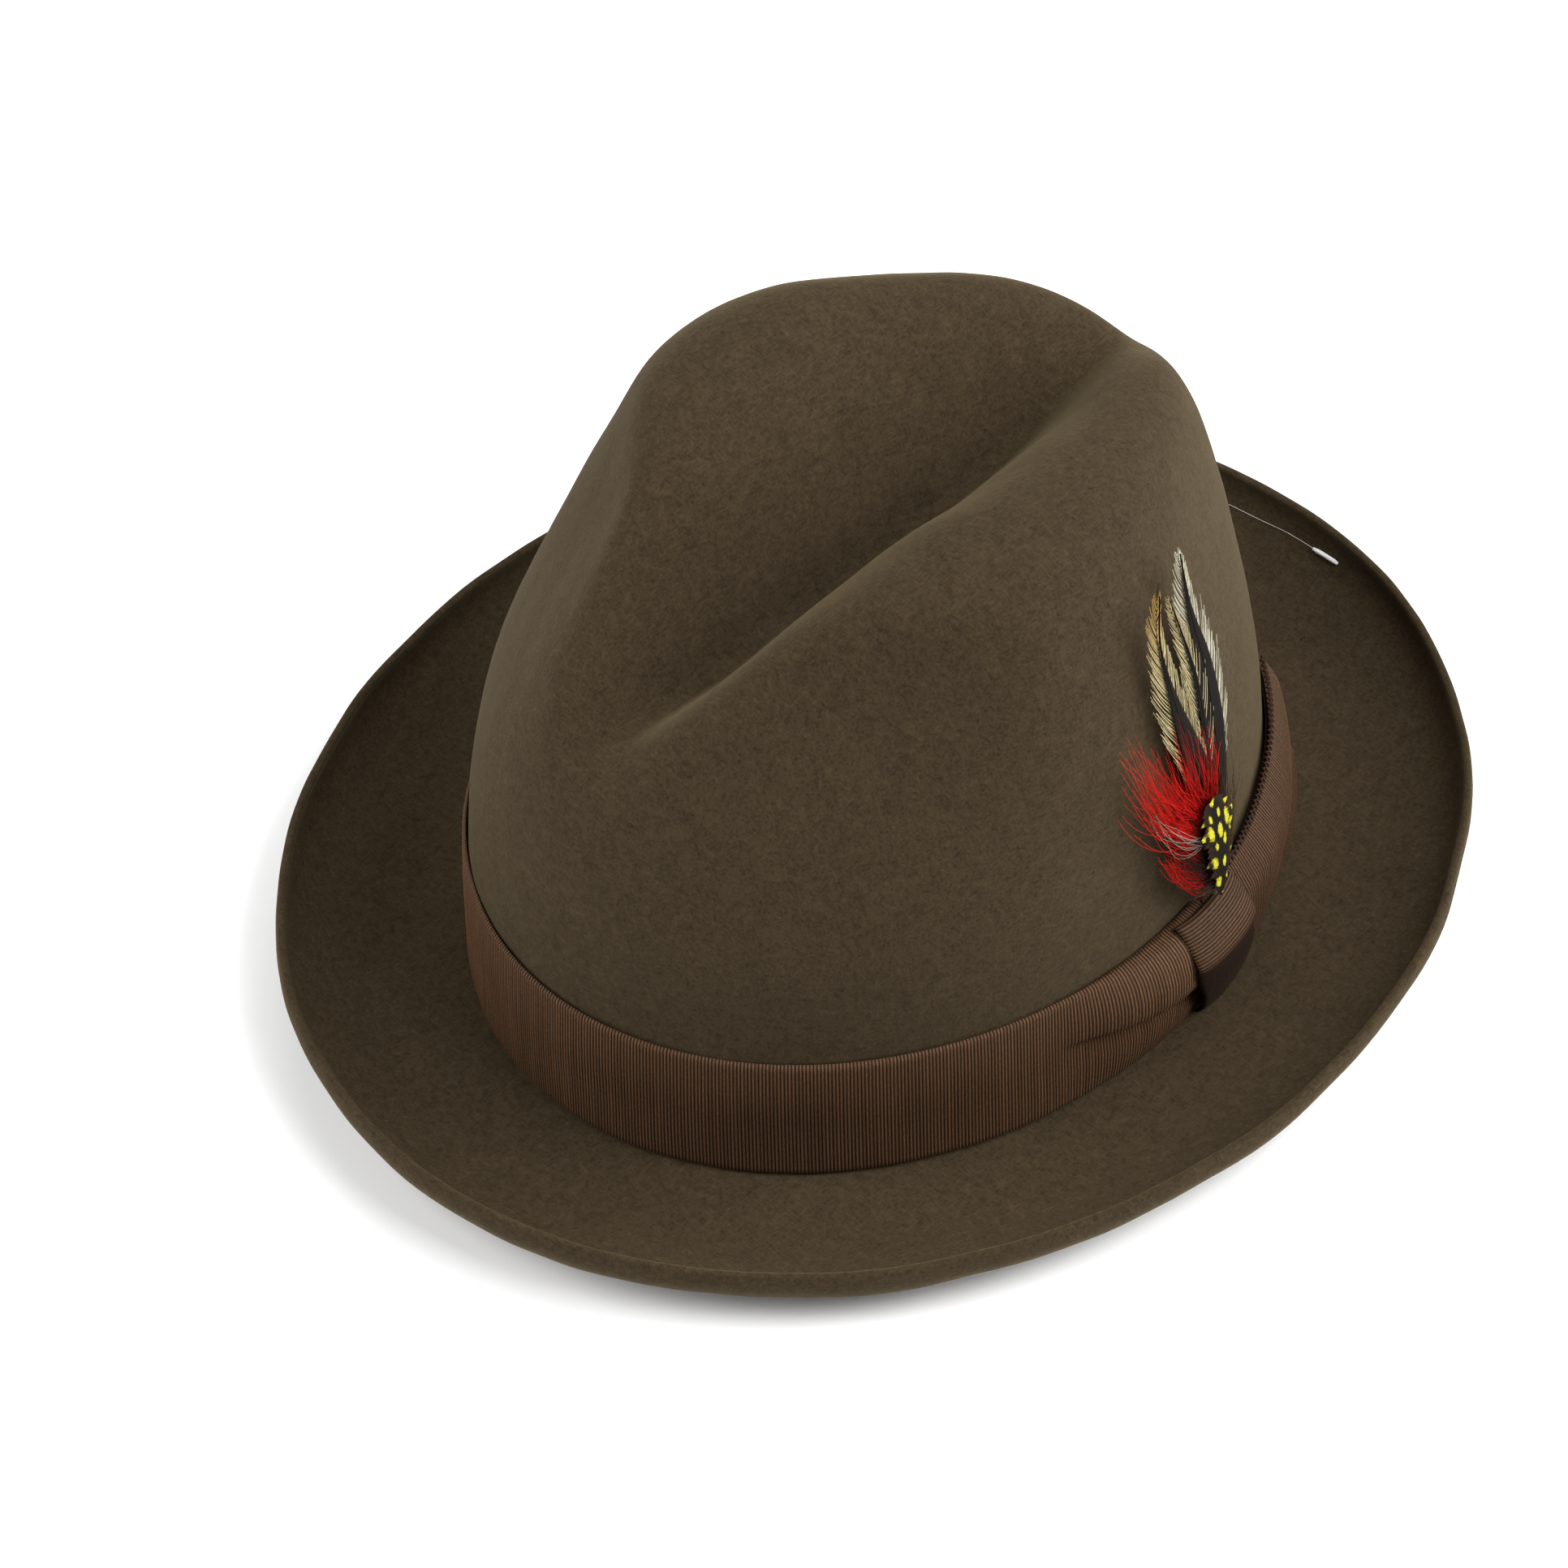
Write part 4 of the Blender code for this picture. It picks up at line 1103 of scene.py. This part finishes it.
def make_plume():
    barb = feather_material()
    left = ((1.5, 4.0), (-0.2, 30.0), (-5.4, 60.0), (-6.4, 80.0), (-2.4, 91.6))
    feather("feather_left", left, (0.6, 3.0, 6.4, 7.2, 5.8, 4.2, 2.8, 0.8), 110, 1.9, 3.1, barb,
            "hackle_left", hackle_tint(CREAM, 1.0), 31,
            (3.8, 4.8, 5.0, 4.2, 2.8, 1.2, 0.3, 0.1), radius=0.17)
    right = ((3.6, 4.0), (8.2, 30.0), (9.4, 60.0), (8.4, 78.0), (9.9, 94.0))
    feather("feather_right", right, (0.6, 3.0, 6.8, 7.4, 6.2, 4.8, 3.0, 0.6), 110, 1.9, 1.9, barb,
            "hackle_right", hackle_tint(PALE, 0.0), 32,
            (2.6, 3.2, 3.8, 4.2, 3.6, 2.4, 0.9, 0.1), radius=0.16)
    middle = ((1.2, 4.0), (3.4, 30.0), (4.6, 60.0), (1.5, 87.3))
    feather("feather_middle", middle, (0.5, 2.0, 5.0, 5.4, 4.6, 3.6, 2.2, 0.5), 90, 2.1, 2.5, barb,
            "hackle_middle", hackle_tint(CREAM, 0.25), 33,
            (0.9, 1.0, 1.2, 1.3, 1.1, 0.8, 0.3, 0.1), radius=0.16)
    red = (0.62, 0.010, 0.006)
    deep = (0.24, 0.005, 0.004)
    upper = ((-28.2, 67.2), (-25.0, 60.0), (-30.8, 51.0), (-20.0, 56.0), (-13.0, 52.0), (-4.7, 56.0))
    wisps("feather_red", (
        (170, (-2.0, 24.0), 2.6, upper, 2.4, 0.2, red),
        (34, (0.0, 24.0), 2.0, ((-4.0, 52.0), (2.0, 50.0), (6.0, 42.0)), 1.2, 0.5, red),
        (70, (0.5, 20.0), 2.0, ((-24.0, 56.0), (-16.0, 40.0), (5.0, 40.0)), 1.4, 0.3, deep),
        (60, (-2.2, 7.0), 1.3, ((-22.6, 29.0), (-18.0, 24.0), (-16.0, 15.0)), 1.2, 0.3, red),
        (40, (-2.6, 14.0), 1.6, ((-21.0, 40.0), (-16.0, 32.0), (-14.0, 26.0)), 1.2, 0.3, deep)),
        barb, "hackle_red", 5.6, 34, 0.095)
    dusk = (0.022, 0.012, 0.008)
    wisps("feather_brown", (
        (70, (-2.4, 9.0), 1.5, ((-20.0, 34.0), (-17.0, 26.0), (-18.0, 18.0)), 1.8, 0.3, dusk),
        (26, (-2.4, 6.0), 1.2, ((-19.0, 14.0), (-12.0, 4.0)), 1.5, 0.4, (0.06, 0.035, 0.022)),
        (14, (-6.0, 22.0), 0.9, ((-24.5, 46.0), (-23.0, 38.0)), 0.7, 0.2, (0.36, 0.33, 0.27)),
        (90, (-2.8, 15.0), 3.0, ((-12.0, 24.0), (-11.0, 35.0), (-3.0, 39.0), (5.0, 33.0), (6.5, 20.0)),
         0.8, 0.5, (0.020, 0.009, 0.005)),
        (60, (0.0, 12.0), 1.6, ((6.0, 42.0), (12.0, 36.0), (9.0, 20.0)), 1.4, 0.5,
         (0.075, 0.048, 0.026))),
        barb, "down_brown", 6.8, 35, 0.065)
    spotted_vane(barb)


def make_binding(thread):
    """Thread wound round the quills above the pin."""
    steps, turns = 200, 11
    t = np.linspace(0, 1, steps)
    radius = 1.9 + 0.15 * np.sin(9 * t)
    path = stack(4.6 + radius * np.cos(2 * math.pi * turns * t),
                 -1.2 + radius * np.sin(2 * math.pi * turns * t), 0.6 + 4.6 * t)
    core = stack(4.6 + 0 * t[:30], -1.2 + 0 * t[:30], np.linspace(0.4, 5.4, 30))
    points, faces = join([tubes(to_world(path)[None], 0.00026, 6),
                          tubes(to_world(core)[None], 0.00175, 12)])
    make_piece("quill_wrap", points, faces, thread, "plume",
               ["quill_binding"])


# ---- swing-tag fastener ----
def on_brim(angle, t, above):
    """Points over the brim's upper face, which curls up steeply near its edge."""
    step = 1e-3
    here = brim_point(angle, t)
    around = brim_point(angle + step, t) - here
    outward = brim_point(angle, t + step) - here
    return here + unit(np.cross(outward, around)) * np.asarray(above)[..., None]


def make_fastener(nylon):
    """The thread of a swing tag and its moulded bar, lying on the brim at the back."""
    marks = np.array(((99.3, 0.693), (97.0, 0.692), (94.7, 0.698), (92.0, 0.716), (88.4, 0.730)))
    line = smooth_line(marks, 30)[0]
    thread = on_brim(np.radians(line[:, 0]), line[:, 1], 0.0007 + 0 * line[:, 0])
    share = np.linspace(0, 1, 14)
    bar = on_brim(np.radians(88.3 - 3.4 * share), 0.729 + 0.030 * share, 0.0009 + 0 * share)
    thick = np.where((share > 0.08) & (share < 0.92), 0.00062, 0.00048)
    points, faces = join([tubes(thread[None], 0.00005, 6), tubes(bar[None], thick[None], 10)])
    make_piece("fastener_thread", points, faces, nylon, "hat",
               ["tag_fastener"])


# ---- stage ----
def make_stage():
    mesh = bpy.data.meshes.new("floor")
    size = 4.0
    mesh.from_pydata([(-size, -size, 0), (size, -size, 0), (size, size, 0), (-size, size, 0)], [],
                     [(0, 1, 2, 3)])
    floor = bpy.data.objects.new("floor", mesh)
    bpy.context.scene.collection.objects.link(floor)
    floor.location.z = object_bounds()[0][2] - 0.0002
    material, _, _ = new_material("floor_white", roughness=0.9)
    material.node_tree.nodes["Principled BSDF"].inputs["Base Color"].default_value = (0.93, 0.93, 0.93, 1)
    mesh.materials.append(material)

    world = bpy.data.worlds.new("studio")
    world.use_nodes = True
    background = world.node_tree.nodes["Background"]
    background.inputs["Color"].default_value = (1.0, 1.0, 1.0, 1.0)
    background.inputs["Strength"].default_value = 0.18
    bpy.context.scene.world = world
    bpy.context.scene.view_settings.view_transform = "Standard"


LAMPS = ((60, 50, 24.0), (90, 20, 21.0), (120, 50, 7.5), (180, 50, 6.0), (270, 20, 15.5),
         (300, 50, 12.0))      # degrees round from the camera, degrees up, watts


def make_camera_and_lights():
    azimuth, elevation, roll = (math.radians(v) for v in (50.0, 46.53, -2.94))
    distance = 1.29862
    back = Vector((math.sin(azimuth) * math.cos(elevation),
                   -math.cos(azimuth) * math.cos(elevation), math.sin(elevation)))
    level = Vector((math.cos(azimuth), math.sin(azimuth), 0.0))
    rise = back.cross(level)
    right = level * math.cos(roll) + rise * math.sin(roll)
    up = rise * math.cos(roll) - level * math.sin(roll)
    aim = Vector((0.0, HAT_Y, FELT))
    at = aim + back * distance - right * 0.02180 + up * 0.02084
    camera = bpy.data.objects.new("camera", bpy.data.cameras.new("camera"))
    bpy.context.scene.collection.objects.link(camera)
    camera.matrix_world = Matrix(((right.x, up.x, back.x, at.x), (right.y, up.y, back.y, at.y),
                                  (right.z, up.z, back.z, at.z), (0, 0, 0, 1)))
    camera.data.lens = 119.1
    camera.data.sensor_width = 36.0
    camera.data.clip_start = 0.05
    bpy.context.scene.camera = camera

    turn = math.atan2(back.x, -back.y)
    for around, above, energy in LAMPS:
        swing, lift = turn + math.radians(around), math.radians(above)
        toward = Vector((math.sin(swing) * math.cos(lift), -math.cos(swing) * math.cos(lift),
                         math.sin(lift)))
        data = bpy.data.lights.new("softbox", "AREA")
        data.size = 0.9
        data.energy = energy
        lamp = bpy.data.objects.new("softbox", data)
        bpy.context.scene.collection.objects.link(lamp)
        lamp.location = Vector((0.0, 0.0, 0.05)) + toward * 1.6
        lamp.rotation_euler = (-toward).to_track_quat("-Z", "Y").to_euler()


def main():
    felt = felt_material()
    ribbon = ribbon_material()
    make_felt(felt)
    make_band(ribbon)
    make_knot(ribbon)
    dusky = plain_material("selvage_brown", (0.030, 0.015, 0.009), 0.9, 2600.0, 0.5,
                           specular_ior_level=0.08)
    make_selvage(make_tail(ribbon), dusky)
    leather = leather_material()
    make_sweatband(leather)
    make_reed(leather)
    thread = plain_material("thread_tan", (0.16, 0.11, 0.07), 0.7, 2500.0)
    make_stitches(thread)
    make_inner_bow(satin_material("bow_satin_brown", (0.05, 0.03, 0.02)))
    make_label(plain_material("label_woven", (0.72, 0.69, 0.62), 0.8, 3200.0, 0.08))
    satin = satin_material("lining_satin_brown", (0.035, 0.023, 0.016))
    make_lining_wall(satin)
    make_lining_crown(satin)
    make_lining_cord(plain_material("cord_gold", (0.14, 0.10, 0.05), 0.5, 2500.0))
    make_plume()
    make_binding(plain_material("thread_dark", (0.035, 0.026, 0.018), 0.6, 2500.0))
    make_fastener(plain_material("nylon_white", (0.8, 0.8, 0.8), 0.35, 400.0, 0.03))
    film = plain_material("film_clear", (0.9, 0.9, 0.9), 0.12, 60.0, 0.02, 0.4, 0.0004, alpha=0.35)
    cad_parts["tip_shield"].data.materials[0] = film
    steel = plain_material("steel_pin", (0.55, 0.55, 0.55), 0.3, 1500.0, 0.06, metallic=1.0)
    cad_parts["plume_pin"].data.materials[0] = steel
    make_camera_and_lights()
    make_stage()


main()
